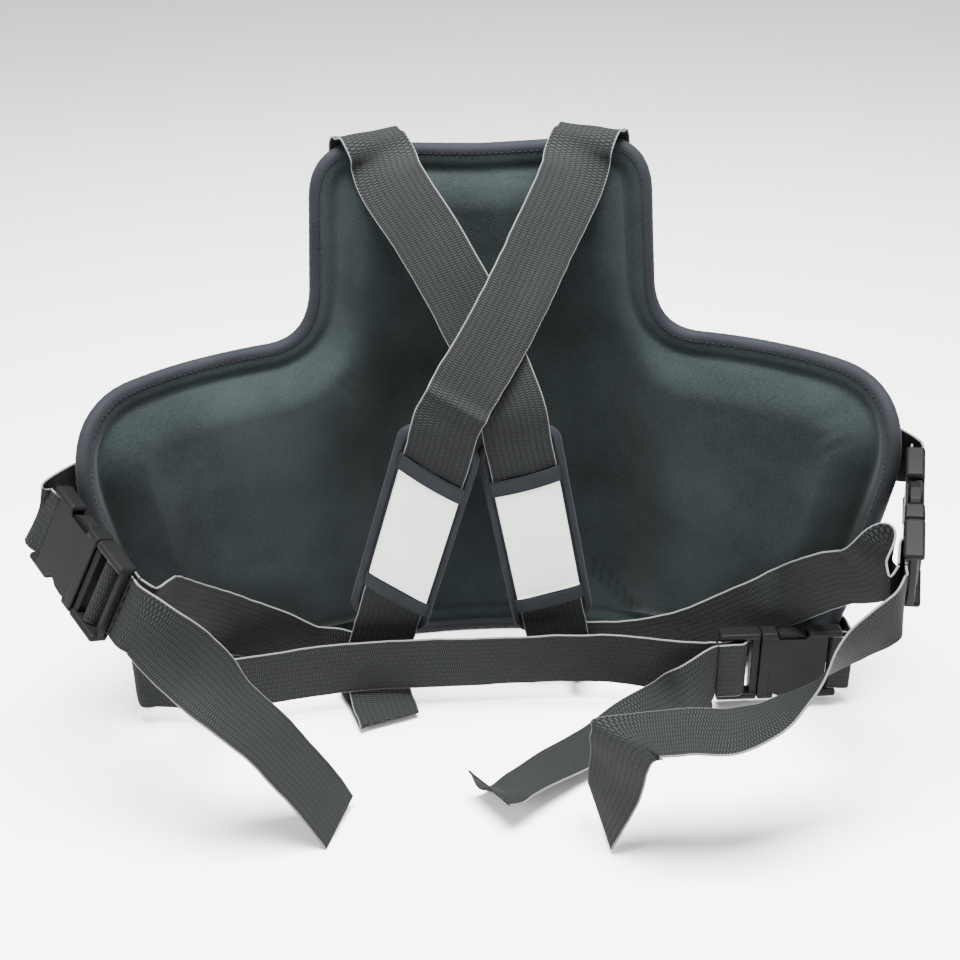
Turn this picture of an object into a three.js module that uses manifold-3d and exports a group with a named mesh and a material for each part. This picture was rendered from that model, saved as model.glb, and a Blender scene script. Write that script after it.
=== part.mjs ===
// Chest protector for boxing and martial arts coaching, standing upright on its lower edge.
// Millimetres, +Z up. The wearer's side faces -Y, the wings wrap towards -Y, +X is the wearer's right hand
// side as seen from behind the protector. The origin is on the lower edge, in the middle of the body.
import * as THREE from 'three';
import { mergeVertices } from 'three/addons/utils/BufferGeometryUtils.js';
import Module from 'manifold-3d';

const wasm = await Module();
wasm.setup();

// Driving dimensions of the shell
const BODY_HEIGHT = 436;
const CHEST_HALF_WIDTH = 124;
const WING_TOP = 282;
const WING_REACH = 345;
const WING_FOOT = 288;
const BINDING_RADIUS = 6;
const LOWEST = BINDING_RADIUS * Math.cos(Math.PI / 8);
const WRAP_CURVATURE = 1 / 600;
const WRAP_TIGHTENING = 5.2e-8;

// Thicknesses of the layers, from the wearer's side outwards
const LINING = 2.4;
const COVER = 2;
const FOAM_AT_EDGE = 3;
const FOAM_IN_MIDDLE = 17;
const WING_PAD_RISE = 24;
const CHEST_PAD_RISE = 16;
const BELLY_BULGE = 20;
const GAP = 0.3;
const HALF_EDGE = 4.9;

// Webbing, pads and buckles
const WEBBING_WIDTH = 50;
const WEBBING = 1.6;
// The side of a webbing section that is split the way its back is, so that a twist keeps the two faces apart.
const FRONT_FACE = 0;
const SHOULDER_PAD = { width: 65, length: 184, thickness: 6, binding: 3.2 };
const SLEEVE = { length: 126, wall: 1.4, hem: 13, fold: 1.8 };
const PANEL = { width: 51, length: 98, thickness: 0.9 };
const BUCKLE = { length: 97, width: 63, thickness: 14, mouth: 64, rail: 5.6, wall: 2.4 };

const MATERIALS = {
  lining: new THREE.MeshStandardMaterial({ color: 0x2b3434, roughness: 0.95, metalness: 0 }),
  cover: new THREE.MeshStandardMaterial({ color: 0x1b1c1e, roughness: 0.55, metalness: 0 }),
  foam: new THREE.MeshStandardMaterial({ color: 0x4a4b4d, roughness: 0.95, metalness: 0 }),
  binding: new THREE.MeshStandardMaterial({ color: 0x2c2e33, roughness: 0.85, metalness: 0 }),
  webbing: new THREE.MeshStandardMaterial({ color: 0x3a3b3b, roughness: 0.9, metalness: 0 }),
  neoprene: new THREE.MeshStandardMaterial({ color: 0x33363a, roughness: 0.85, metalness: 0 }),
  panel: new THREE.MeshStandardMaterial({ color: 0xdee6dc, roughness: 0.6, metalness: 0 }),
  buckle: new THREE.MeshStandardMaterial({ color: 0x3a3a3b, roughness: 0.45, metalness: 0 }),
};

const protector = new THREE.Group();

// ---------------------------------------------------------------- helpers

function addMesh(name, geometry, material, parent = protector) {
  const mesh = new THREE.Mesh(geometry, material);
  mesh.name = name;
  parent.add(mesh);
  return mesh;
}

function vector(point) {
  return new THREE.Vector3(...point);
}

function smooth(value, from, to) {
  const t = Math.min(1, Math.max(0, (value - from) / (to - from)));
  return t * t * (3 - 2 * t);
}

// An indexed geometry whose faces are turned to point outwards.
function closedGeometry(points, triangles) {
  let volume = 0;
  for (const [a, b, c] of triangles) {
    volume += points[a].dot(new THREE.Vector3().crossVectors(points[b], points[c]));
  }
  const index = volume > 0 ? triangles.flat() : triangles.flatMap(([a, b, c]) => [a, c, b]);
  const geometry = new THREE.BufferGeometry();
  geometry.setAttribute('position', new THREE.Float32BufferAttribute(points.flatMap((p) => p.toArray()), 3));
  geometry.setIndex(index);
  geometry.computeVertexNormals();
  return geometry;
}

// A solid through a row of sections with equal point counts: open with flat ends, or closed on itself. The
// sides named in turned are split along their other diagonal.
function loft(sections, closed = false, turned = []) {
  const points = sections.flat();
  const count = sections[0].length;
  const triangles = [];
  const spans = closed ? sections.length : sections.length - 1;
  for (let i = 0; i < spans; i++) {
    const near = i * count;
    const far = ((i + 1) % sections.length) * count;
    for (let j = 0; j < count; j++) {
      const next = (j + 1) % count;
      if (turned.includes(j)) {
        triangles.push([near + j, near + next, far + j], [near + next, far + next, far + j]);
      } else {
        triangles.push([near + j, near + next, far + next], [near + j, far + next, far + j]);
      }
    }
  }
  if (!closed) {
    const last = (sections.length - 1) * count;
    for (let j = 1; j < count - 1; j++) {
      triangles.push([0, j + 1, j], [last, last + j, last + j + 1]);
    }
  }
  return closedGeometry(points, triangles);
}

function toManifold(geometry) {
  const plain = geometry.clone();
  plain.deleteAttribute('normal');
  plain.deleteAttribute('uv');
  const merged = mergeVertices(plain, 1e-4);
  return new wasm.Manifold(new wasm.Mesh({
    numProp: 3,
    vertProperties: new Float32Array(merged.attributes.position.array),
    triVerts: new Uint32Array(merged.index.array),
  }));
}

function fromManifold(solid) {
  const mesh = solid.getMesh();
  const geometry = new THREE.BufferGeometry();
  geometry.setAttribute('position', new THREE.BufferAttribute(new Float32Array(mesh.vertProperties), 3));
  geometry.setIndex(new THREE.BufferAttribute(new Uint32Array(mesh.triVerts), 1));
  geometry.computeVertexNormals();
  return geometry;
}

// A box from its lowest to its highest corner.
function block(low, high) {
  const size = high.map((value, i) => value - low[i]);
  return new THREE.BoxGeometry(...size).translate(...low.map((value, i) => value + size[i] / 2));
}

function cut(geometry, ...tools) {
  return fromManifold(tools.reduce((solid, tool) => solid.subtract(toManifold(tool)), toManifold(geometry)));
}

function join(geometry, ...others) {
  return fromManifold(others.reduce((solid, other) => solid.add(toManifold(other)), toManifold(geometry)));
}

// ---------------------------------------------------------------- the shell's surface

// The shell's plan, by arc length from its middle: a gentle curve that tightens towards the wing ends.
function heading(s) {
  return WRAP_CURVATURE * s + (WRAP_TIGHTENING * s ** 3) / 3;
}

function planPoint(s) {
  const steps = 24;
  const step = s / steps;
  let x = 0;
  let y = 0;
  for (let i = 0; i < steps; i++) {
    const angle = heading((i + 0.5) * step);
    x += Math.cos(angle) * step;
    y -= Math.sin(Math.abs(angle)) * Math.abs(step);
  }
  return [x, y];
}

// A point of the shell: arc length s, height z, and offset outwards from the wearer.
function bend(s, z, offset) {
  const [x, y] = planPoint(s);
  const angle = heading(s);
  return new THREE.Vector3(x + Math.sin(angle) * offset, y + Math.cos(angle) * offset, z);
}

// The flat outline of the binding's centre line, as (arc length, height).
function outlinePath() {
  const path = new THREE.Path();
  path.moveTo(0, LOWEST);
  path.lineTo(WING_FOOT - 40, LOWEST);
  path.quadraticCurveTo(WING_FOOT, LOWEST, WING_FOOT + 14, 50);
  path.lineTo(WING_REACH, WING_TOP - 72);
  path.bezierCurveTo(WING_REACH + 11, WING_TOP - 18, WING_REACH - 22, WING_TOP, WING_REACH - 62, WING_TOP);
  path.lineTo(CHEST_HALF_WIDTH + 48, WING_TOP);
  path.quadraticCurveTo(CHEST_HALF_WIDTH + 10, WING_TOP, CHEST_HALF_WIDTH + 5, WING_TOP + 42);
  path.lineTo(CHEST_HALF_WIDTH, BODY_HEIGHT - 40);
  path.quadraticCurveTo(CHEST_HALF_WIDTH - 2, BODY_HEIGHT - 6, CHEST_HALF_WIDTH - 34, BODY_HEIGHT - 5);
  path.quadraticCurveTo(40, BODY_HEIGHT - 9, 0, BODY_HEIGHT - 10);
  return path;
}

function outline(halfCount) {
  const right = outlinePath().getSpacedPoints(halfCount);
  const left = right.slice(1, -1).reverse().map((p) => new THREE.Vector2(-p.x, p.y));
  return [...right, ...left];
}

function inset(points, distance) {
  return points.map((point, i) => {
    const before = points[(i + points.length - 1) % points.length];
    const after = points[(i + 1) % points.length];
    const along = after.clone().sub(before).normalize();
    return new THREE.Vector2(point.x - along.y * distance, point.y + along.x * distance);
  });
}

const OUTLINE = outline(32);
const LAYER_EDGE = inset(OUTLINE, BINDING_RADIUS + GAP + 0.3);
const POLE = new THREE.Vector2(0, 190);
const RINGS = [0.2, 0.42, 0.6, 0.74, 0.85, 0.91, 0.96, 1];
const PAD_RINGS = RINGS.slice(1, 5);

function edgeDistance(s, z) {
  return Math.min(...LAYER_EDGE.map((p) => Math.hypot(p.x - s, p.y - z)));
}

function bellyBulge(s, z) {
  return BELLY_BULGE * (1 - smooth(Math.hypot(s / 1.25, z - 140), 30, 190));
}

// How far the padding stands out towards the wearer: two wing pads, a chest pad and a hollow between, each
// with a steep wall and a rounded top.
function padRise(s, z) {
  const climbed = Math.min(1, Math.max(0, (edgeDistance(s, z) - 9) / 27));
  const wall = 1 - (1 - climbed) ** 2.2;
  const wing = Math.max(smooth(-s, 62, 128), smooth(s, 98, 166)) * (1 - smooth(z, 262, 318));
  const chest = smooth(z, 262, 345);
  return wall * (WING_PAD_RISE * wing + CHEST_PAD_RISE * chest * (1 - wing));
}

function frontFoam(s, z) {
  return FOAM_AT_EDGE + (FOAM_IN_MIDDLE - FOAM_AT_EDGE) * smooth(edgeDistance(s, z), 0, 80);
}

const LEVELS = {
  liningInner: (s, z) => bellyBulge(s, z) - HALF_EDGE - padRise(s, z),
  liningOuter: (s, z) => LEVELS.liningInner(s, z) + LINING,
  padInner: (s, z) => LEVELS.liningOuter(s, z) + GAP,
  padOuter: (s, z) => LEVELS.foamInner(s, z) - GAP,
  foamInner: (s, z) => bellyBulge(s, z) + HALF_EDGE - COVER - GAP - FOAM_AT_EDGE,
  foamOuter: (s, z) => LEVELS.foamInner(s, z) + frontFoam(s, z),
  coverInner: (s, z) => LEVELS.foamOuter(s, z) + GAP,
  coverOuter: (s, z) => LEVELS.coverInner(s, z) + COVER,
};

function gridPoint(i, ring, level) {
  const edge = LAYER_EDGE[(i + LAYER_EDGE.length) % LAYER_EDGE.length];
  const flat = POLE.clone().lerp(edge, ring);
  return bend(flat.x, flat.y, level(flat.x, flat.y));
}

// A layer over the whole shell: two skins fanned out from the pole and joined round the edge.
function wholeLayer(inner, outer) {
  const count = LAYER_EDGE.length;
  const points = [inner, outer].flatMap((level) => [
    gridPoint(0, 0, level),
    ...RINGS.flatMap((ring) => LAYER_EDGE.map((_, i) => gridPoint(i, ring, level))),
  ]);
  const skinSize = 1 + RINGS.length * count;
  const triangles = [];
  const at = (skin, ring, i) => skin * skinSize + 1 + ring * count + (i % count);
  for (const skin of [0, 1]) {
    const add = (a, b, c) => triangles.push(skin ? [a, b, c] : [a, c, b]);
    for (let i = 0; i < count; i++) {
      add(skin * skinSize, at(skin, 0, i), at(skin, 0, i + 1));
      for (let r = 0; r < RINGS.length - 1; r++) {
        add(at(skin, r, i), at(skin, r + 1, i), at(skin, r + 1, i + 1));
        add(at(skin, r, i), at(skin, r + 1, i + 1), at(skin, r, i + 1));
      }
    }
  }
  const rim = RINGS.length - 1;
  for (let i = 0; i < count; i++) {
    triangles.push([at(0, rim, i), at(0, rim, i + 1), at(1, rim, i + 1)]);
    triangles.push([at(0, rim, i), at(1, rim, i + 1), at(1, rim, i)]);
  }
  return closedGeometry(points, triangles);
}

// A pad between two levels over a sector of the grid, from one outline point to another.
function sectorPad(first, last, rings, inner, outer) {
  const sections = [];
  for (let i = first; i <= last; i++) {
    const low = rings.map((ring) => gridPoint(i, ring, inner));
    const high = rings.map((ring) => gridPoint(i, ring, outer)).reverse();
    sections.push([...low, ...high]);
  }
  return stripLoft(sections, rings.length);
}

// A loft of long thin sections, whose ends are capped by strips between their two sides.
function stripLoft(sections, sideCount) {
  const count = sideCount * 2;
  const points = sections.flat();
  const triangles = [];
  for (let i = 0; i < sections.length - 1; i++) {
    for (let j = 0; j < count; j++) {
      const next = (j + 1) % count;
      const near = i * count;
      const far = near + count;
      if (j < sideCount) {
        triangles.push([near + j, near + next, far + next], [near + j, far + next, far + j]);
      } else {
        triangles.push([near + j, near + next, far + j], [near + next, far + next, far + j]);
      }
    }
  }
  const last = (sections.length - 1) * count;
  for (let j = 0; j < sideCount - 1; j++) {
    const across = count - 1 - j;
    triangles.push([j, across - 1, j + 1], [j, across, across - 1]);
    triangles.push([last + j, last + j + 1, last + across - 1]);
    triangles.push([last + j, last + across - 1, last + across]);
  }
  return closedGeometry(points, triangles);
}

function outlineIndex(angleDegrees) {
  const angles = LAYER_EDGE.map((p) => Math.atan2(p.y - POLE.y, p.x) * THREE.MathUtils.RAD2DEG);
  const turn = (a) => Math.abs(((a - angleDegrees + 540) % 360) - 180);
  return angles.reduce((best, angle, i) => (turn(angle) < turn(angles[best]) ? i : best), 0);
}

function makeShell() {
  addMesh('lining', wholeLayer(LEVELS.liningInner, LEVELS.liningOuter), MATERIALS.lining);
  addMesh('front_foam', wholeLayer(LEVELS.foamInner, LEVELS.foamOuter), MATERIALS.foam);
  addMesh('outer_cover', wholeLayer(LEVELS.coverInner, LEVELS.coverOuter), MATERIALS.cover);
  const count = LAYER_EDGE.length;
  const pads = [
    ['wing_pad_right', outlineIndex(-48), outlineIndex(25)],
    ['chest_pad', outlineIndex(58), outlineIndex(122)],
    ['wing_pad_left', outlineIndex(155), outlineIndex(228)],
  ];
  for (const [name, first, last] of pads) {
    const end = last < first ? last + count : last;
    addMesh(name, sectorPad(first, end, PAD_RINGS, LEVELS.padInner, LEVELS.padOuter), MATERIALS.foam);
  }
}

// The binding rolled round the edge: an octagonal bead along the outline, with a flat underside.
function makeBinding() {
  const sections = OUTLINE.map((point, i) => {
    const inward = inset(OUTLINE, 1)[i].sub(point);
    return Array.from({ length: 8 }, (_, k) => {
      const angle = ((k + 0.5) * Math.PI) / 4;
      const depth = -Math.cos(angle) * BINDING_RADIUS;
      const flat = point.clone().addScaledVector(inward, depth);
      return bend(flat.x, flat.y, Math.sin(angle) * BINDING_RADIUS);
    });
  });
  addMesh('edge_binding', loft(sections, true), MATERIALS.binding);
}

// ---------------------------------------------------------------- webbing

// A ribbon of webbing through stations { at, across, slant }, across being the direction of its width. It is
// turned square to the run, or kept slanting to it, as at a crease, where slant is 1.
function ribbon(stations, steps, width = WEBBING_WIDTH) {
  const path = new THREE.CatmullRomCurve3(stations.map((s) => vector(s.at)), false, 'centripetal');
  const across = new THREE.CatmullRomCurve3(stations.map((s) => vector(s.across)), false, 'centripetal');
  const sections = [];
  const slantOf = (t) => {
    const place = t * (stations.length - 1);
    const before = Math.min(Math.floor(place), stations.length - 2);
    return THREE.MathUtils.lerp(stations[before].slant, stations[before + 1].slant, place - before);
  };
  for (let i = 0; i <= steps; i++) {
    const t = i / steps;
    const tangent = path.getTangent(t);
    const side = across.getPoint(t);
    side.addScaledVector(tangent, (slantOf(t) - 1) * side.dot(tangent)).normalize();
    const reach = width / 2 / Math.sqrt(1 - side.dot(tangent) ** 2);
    const normal = new THREE.Vector3().crossVectors(tangent, side).normalize();
    const centre = path.getPoint(t);
    const section = [[1, 1], [-1, 1], [-1, -1], [1, -1]].map(([a, b]) => centre.clone()
      .addScaledVector(side, a * reach)
      .addScaledVector(normal, (b * WEBBING) / 2));
    if (i === 0 || movesOn(section, sections.at(-1), tangent)) {
      sections.push(section);
    } else if (i === steps) {
      sections[sections.length - 1] = section;
    }
  }
  return loft(sections, false, [FRONT_FACE]);
}

// Whether every corner of a section lies beyond the one before. Where webbing turns more tightly than half its
// width, its inner edge would otherwise run back through it.
function movesOn(section, before, tangent) {
  return section.every((corner, j) => corner.clone().sub(before[j]).dot(tangent) > GAP);
}

function station(at, across, slant = 0) {
  return { at, across, slant };
}

function between(from, to, count, across) {
  return Array.from({ length: count + 1 }, (_, i) => {
    const point = vector(from).lerp(vector(to), i / count);
    return station(point.toArray(), across);
  });
}

// The stitched end on the outer cover and the slanting fold over the top edge, for a strap at arc length s
// that leans towards the middle. Each row is the height above the body, the offset, the lean and the
// direction of the width.
function overTheTop(s) {
  const towards = -Math.sign(s);
  const cover = LEVELS.coverOuter;
  const sewn = [372, 388, 404, 418].map((z) => [z - BODY_HEIGHT, cover(s, z) + 3.4, -4.5, [1, 0, 0]]);
  const fold = [
    [-6, 8.8, -4, [1, 0, 0]],
    [2.5, 7.2, -2.5, [0.97, 0.22, 0]],
    [6.4, 0, 0, [0.86, 0.5, 0]],
    [2.5, -7.4, 3.4, [0.85, 0.46, 0.14]],
    [-8, -12, 8, [0.86, 0.32, 0.32]],
  ];
  return [...sewn, ...fold].map(([above, offset, lean, [x, y, z]]) => {
    const at = s + towards * lean;
    const turn = -heading(at);
    const across = vector([x, towards * y, towards * z]).applyAxisAngle(vector([0, 0, 1]), turn);
    return station(bend(at, BODY_HEIGHT + above, offset).toArray(), across.toArray());
  });
}

const PAD_RUNS = {
  right: {
    top: [16, -107, 262], bottom: [54, -93, 50], across: [0.98, 0, 0.176], padShift: 5, panelAt: 4,
  },
  left: {
    top: [-30, -119, 262], bottom: [-91, -96, 50], across: [0.96, 0, -0.276], padShift: -3, panelAt: 0,
  },
};

// ---------------------------------------------------------------- buckles

// Where each buckle's female strap end is, which way the male half pulls out, and its width's direction.
const BUCKLE_PLACES = {
  left: { end: [-315, -160, 212], pull: [0.577, -0.773, -0.258], across: [-0.45, -0.04, -0.89] },
  right: { end: [309, -142, 217], pull: [-0.247, -0.876, -0.412], across: [-0.2, -0.4, 0.9] },
  waist: { end: [275, -127, 42], pull: [-1, 0, 0], across: [0, 0, -1] },
};

function buckleFrame({ end, pull, across }) {
  const x = vector(pull).normalize();
  const y = vector(across).addScaledVector(x, -vector(across).dot(x)).normalize();
  const z = new THREE.Vector3().crossVectors(x, y);
  return new THREE.Matrix4().makeBasis(x, y, z).setPosition(vector(end));
}

// Buckle parts lie along +X from the female's strap bar, with the strap side towards +Z.
function femaleBody() {
  const half = BUCKLE.width / 2;
  const thick = BUCKLE.thickness / 2;
  const shape = new THREE.Shape();
  shape.moveTo(0, -half + 3);
  shape.lineTo(3, -half);
  shape.lineTo(BUCKLE.mouth, -half);
  shape.lineTo(BUCKLE.mouth, half);
  shape.lineTo(3, half);
  shape.lineTo(0, half - 3);
  const body = new THREE.ExtrudeGeometry(shape, { depth: BUCKLE.thickness, bevelEnabled: false });
  body.translate(0, 0, -thick);
  const inner = thick - BUCKLE.wall;
  return cut(
    body,
    block([4.5, -26, -thick - 1], [11, 26, thick + 1]),
    block([-1, -26, 2], [5, 26, thick + 1]),
    block([-1, -26, -thick - 1], [5, 26, -2]),
    block([15, -27, -inner], [BUCKLE.mouth + 1, 27, inner]),
    block([27, half - 7, -inner], [51, half + 1, inner]),
    block([27, -half - 1, -inner], [51, -half + 7, inner]),
  );
}

function maleFrame() {
  const half = BUCKLE.width / 2;
  const thick = BUCKLE.thickness / 2;
  const start = BUCKLE.mouth + GAP;
  const railStart = half - BUCKLE.rail;
  const base = block([start, -half, -thick + 2], [start + 6.5, half, thick - 2]);
  const rails = [-1, 1].map((side) => block(
    [start, Math.min(side * railStart, side * half), -thick],
    [BUCKLE.length, Math.max(side * railStart, side * half), thick],
  ));
  const endBar = block([BUCKLE.length - 5, -half + 1, -3], [BUCKLE.length, half - 1, 3]);
  const strapBar = block([78.5, -half + 1, -1.6], [82, half - 1, 1.6]);
  const tongue = block([40, -6, -3], [start + 1, 6, 3]);
  return join(base, ...rails, endBar, strapBar, tongue);
}

// A springy prong, whose arrow head fills the female's side window.
function prong(side) {
  const shape = new THREE.Shape();
  const root = BUCKLE.mouth - 0.4;
  shape.moveTo(root, 12);
  shape.lineTo(root, 17.5);
  shape.lineTo(50, 21);
  shape.lineTo(50, 28.6);
  shape.lineTo(44, 30.6);
  shape.lineTo(36, 30);
  shape.lineTo(28.5, 24);
  shape.lineTo(30, 21);
  shape.lineTo(44, 18.5);
  const geometry = new THREE.ExtrudeGeometry(shape, { depth: 7, bevelEnabled: false });
  geometry.translate(0, 0, -3.5);
  if (side > 0) return geometry;
  return geometry.rotateX(Math.PI);
}

// The webbing's turn round the male half's strap bar, in the buckle's own frame.
function barWrap() {
  const route = [
    [98.5, 4.9], [90, 4.9], [86.2, 2.6], [84.6, -1], [80.2, -3.9],
    [75.8, -1], [75.2, 4], [79, 8.6], [88, 9.6], [98.5, 9.8],
  ];
  return ribbon(route.map(([x, z]) => station([x, 0, z], [0, 1, 0])), 26);
}

// ---------------------------------------------------------------- assembly

function localPoint(place, x, z) {
  return new THREE.Vector3(x, 0, z).applyMatrix4(buckleFrame(place)).toArray();
}

function makeBuckle(side) {
  const group = new THREE.Group();
  group.applyMatrix4(buckleFrame(BUCKLE_PLACES[side]));
  protector.add(group);
  addMesh(`${side}_buckle_female`, femaleBody(), MATERIALS.buckle, group);
  addMesh(`${side}_buckle_male`, maleFrame(), MATERIALS.buckle, group);
  const upper = BUCKLE_PLACES[side].across[2] > 0 ? 1 : -1;
  addMesh(`${side}_buckle_prong_upper`, prong(upper), MATERIALS.buckle, group);
  addMesh(`${side}_buckle_prong_lower`, prong(-upper), MATERIALS.buckle, group);
  addMesh(`${side}_strap_bar_turn`, barWrap(), MATERIALS.webbing, group);
}

function continued(run, distance) {
  const down = vector(run.bottom).sub(vector(run.top)).normalize();
  return station(vector(run.bottom).addScaledVector(down, distance).toArray(), run.across);
}

function makeShoulderStraps() {
  const { right, left } = PAD_RUNS;
  addMesh('shoulder_strap_to_right', ribbon([
    ...overTheTop(-82),
    station([-67, -28, 414], [0.87, 0.12, 0.46]),
    station([-38, -55, 372], [0.86, 0, 0.5]),
    station([-7, -82, 317], [0.88, 0, 0.45]),
    ...between(right.top, right.bottom, 8, right.across),
  ], 64), MATERIALS.webbing);
  addMesh('shoulder_strap_to_left', ribbon([
    ...overTheTop(82),
    station([67, -28, 413], [0.87, -0.12, -0.46]),
    station([42, -58, 372], [0.86, 0, -0.5]),
    station([10, -94, 322], [0.84, -0.05, -0.53]),
    ...between(left.top, left.bottom, 8, left.across),
  ], 64), MATERIALS.webbing);
}

// From each pad's foot the webbing turns outwards behind the waist strap and climbs to its side buckle.
function makeLowerStraps() {
  const { right, left } = BUCKLE_PLACES;
  const rightAcross = right.across.map((value) => -value);
  addMesh('right_strap_lower', ribbon([
    continued(PAD_RUNS.right, 0.8),
    continued(PAD_RUNS.right, 9),
    station([64, -86, 33], [0.75, -0.1, -0.5]),
    station([88, -83, 31], [0.2, -0.1, -1]),
    station([125, -85, 33], [0.1, -0.1, -1]),
    station([168, -90, 47], [0.25, -0.1, -0.95]),
    station([205, -98, 70], [0.4, -0.15, -0.9]),
    station([237, -113, 97], [0.5, -0.2, -0.84]),
    station([254, -150, 133], [0.4, 0.1, -0.9]),
    station([266, -194, 179], [0.1, 0.2, -0.97]),
    station(localPoint(right, 106, 21), rightAcross),
    station(localPoint(right, 109, 15), rightAcross),
    station(localPoint(right, 100, 10), rightAcross),
  ], 52), MATERIALS.webbing);
  addMesh('left_strap_lower', ribbon([
    continued(PAD_RUNS.left, 0.8),
    continued(PAD_RUNS.left, 9),
    station([-93, -103, 22], [0.96, 0.1, 0]),
    station([-90, -117, 12], [0.94, 0.25, 0]),
    station([-86, -130, 9.4], [0.93, 0.35, 0]),
    station([-84, -136, 6.6], [0.93, 0.35, 0]),
    station([-86, -130, 3.8], [0.93, 0.35, 0]),
    station([-92, -112, 3.4], [0.93, 0.33, 0]),
    station([-100, -92, 4.8], [0.9, 0.25, 0]),
    station([-110, -77, 17], [0.7, 0.1, -0.35]),
    station([-128, -76, 29], [0.35, 0, -0.9]),
    station([-150, -80, 36], [0.05, 0, -1]),
    station([-178, -88, 58], [-0.2, 0, -0.95]),
    station([-205, -105, 82], [-0.35, -0.1, -0.9]),
    station([-224, -135, 111], [-0.4, -0.1, -0.9]),
    station([-236, -180, 148], [-0.4, 0, -0.9]),
    station(localPoint(left, 104, 27), left.across),
    station(localPoint(left, 109, 16), left.across),
    station(localPoint(left, 100, 10), left.across),
  ], 60), MATERIALS.webbing);
}

// The loose ends beyond the buckles, down to the surface that the protector stands on.
function makeTails() {
  const { right, left, waist } = BUCKLE_PLACES;
  const rightAcross = right.across.map((value) => -value);
  addMesh('right_strap_tail', ribbon([
    station(localPoint(right, 99.8, 4.9), rightAcross),
    station(localPoint(right, 110, 5.2), rightAcross),
    station(localPoint(right, 118, 8), [0.35, 0.3, -0.88]),
    station([257, -236, 157], [0.5, 0.4, -0.75]),
    station([241, -246, 144], [0.4, 0.6, -0.65]),
    station([221, -259, 131], [0.25, 0.8, -0.55]),
    station([197, -276, 119], [0.15, 0.93, -0.35]),
    station([174, -286, 110], [0.15, 1, -0.12]),
    station([152, -288, 104], [0.12, 1, 0]),
    station([125, -286, 103], [0.05, 1, 0]),
    station([100, -288, 103], [-0.2, 1, -0.03], 0.3),
    station([81, -290, 101], [-0.7, 0.7, 0], 1),
    station([77, -287, 88], [-0.68, 0.73, 0.02], 1),
    station([76, -279, 61], [-0.6, 0.8, 0.2], 0.3),
    station([68, -269, 17], [-0.2, 0.8, 0.6], 0.6),
  ], 60), MATERIALS.webbing);
  addMesh('left_strap_tail', ribbon([
    station(localPoint(left, 99.8, 4.9), left.across),
    station(localPoint(left, 109, 5.2), left.across),
    station(localPoint(left, 122, 12), [-0.5, 0, -0.85]),
    station([-208, -247, 140], [-0.52, -0.5, -0.65]),
    station([-187, -250, 112], [-0.52, -0.84, -0.05]),
    station([-167, -251, 88], [-0.52, -0.85, 0.12]),
    station([-148, -251, 58], [-0.52, -0.84, 0.15]),
    station([-131, -251, 30], [-0.5, -0.85, 0.1]),
    station([-119, -251, 5], [-0.44, -0.9, 0]),
  ], 36), MATERIALS.webbing);
  addMesh('waist_strap_tail', ribbon([
    station(localPoint(waist, 99.8, 9.8), waist.across),
    station([166, -146, 42], [0.1, -0.15, -1]),
    station([152, -158, 36], [0.3, -0.4, -0.8]),
    station([136, -158, 24], [0.3, -0.7, -0.5]),
    station([112, -156, 13], [0.4, -0.9, -0.1]),
    station([82, -174, 8], [0.6, -0.78, 0.16]),
    station([47, -199, 9], [0.6, -0.76, 0.24]),
    station([21, -221, 11.5], [0.56, -0.74, 0.34]),
    station([2, -238, 14.5], [0.5, -0.74, 0.42]),
    station([-10, -246, 27], [0.42, -0.86, 0.15]),
  ], 44), MATERIALS.webbing);
}

function makeWaistStrap() {
  const z = 42;
  const sewn = [250, 268, 284].map((s) => bend(-s, z, LEVELS.coverOuter(-s, z) + 6));
  const turn = [[303, 12], [316, 8], [321, 0], [316, -9]].map(([s, offset]) => bend(-s, z, offset));
  addMesh('waist_strap', ribbon([
    ...[...sewn, ...turn].map((point) => station(point.toArray(), [0, 0, -1])),
    station([-222, -128, 41], [0, 0.05, -1]),
    station([-111, -116, 44.5], [0, 0.08, -1]),
    station([-10, -115, 44.5], [0, 0.1, -1]),
    station([87, -118, 45.5], [0, 0.1, -1]),
    station([150, -130, 43], [0, 0.03, -1]),
    station(localPoint(BUCKLE_PLACES.waist, 108, 4.9), BUCKLE_PLACES.waist.across),
    station(localPoint(BUCKLE_PLACES.waist, 100, 4.9), BUCKLE_PLACES.waist.across),
  ], 56), MATERIALS.webbing);
}

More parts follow.
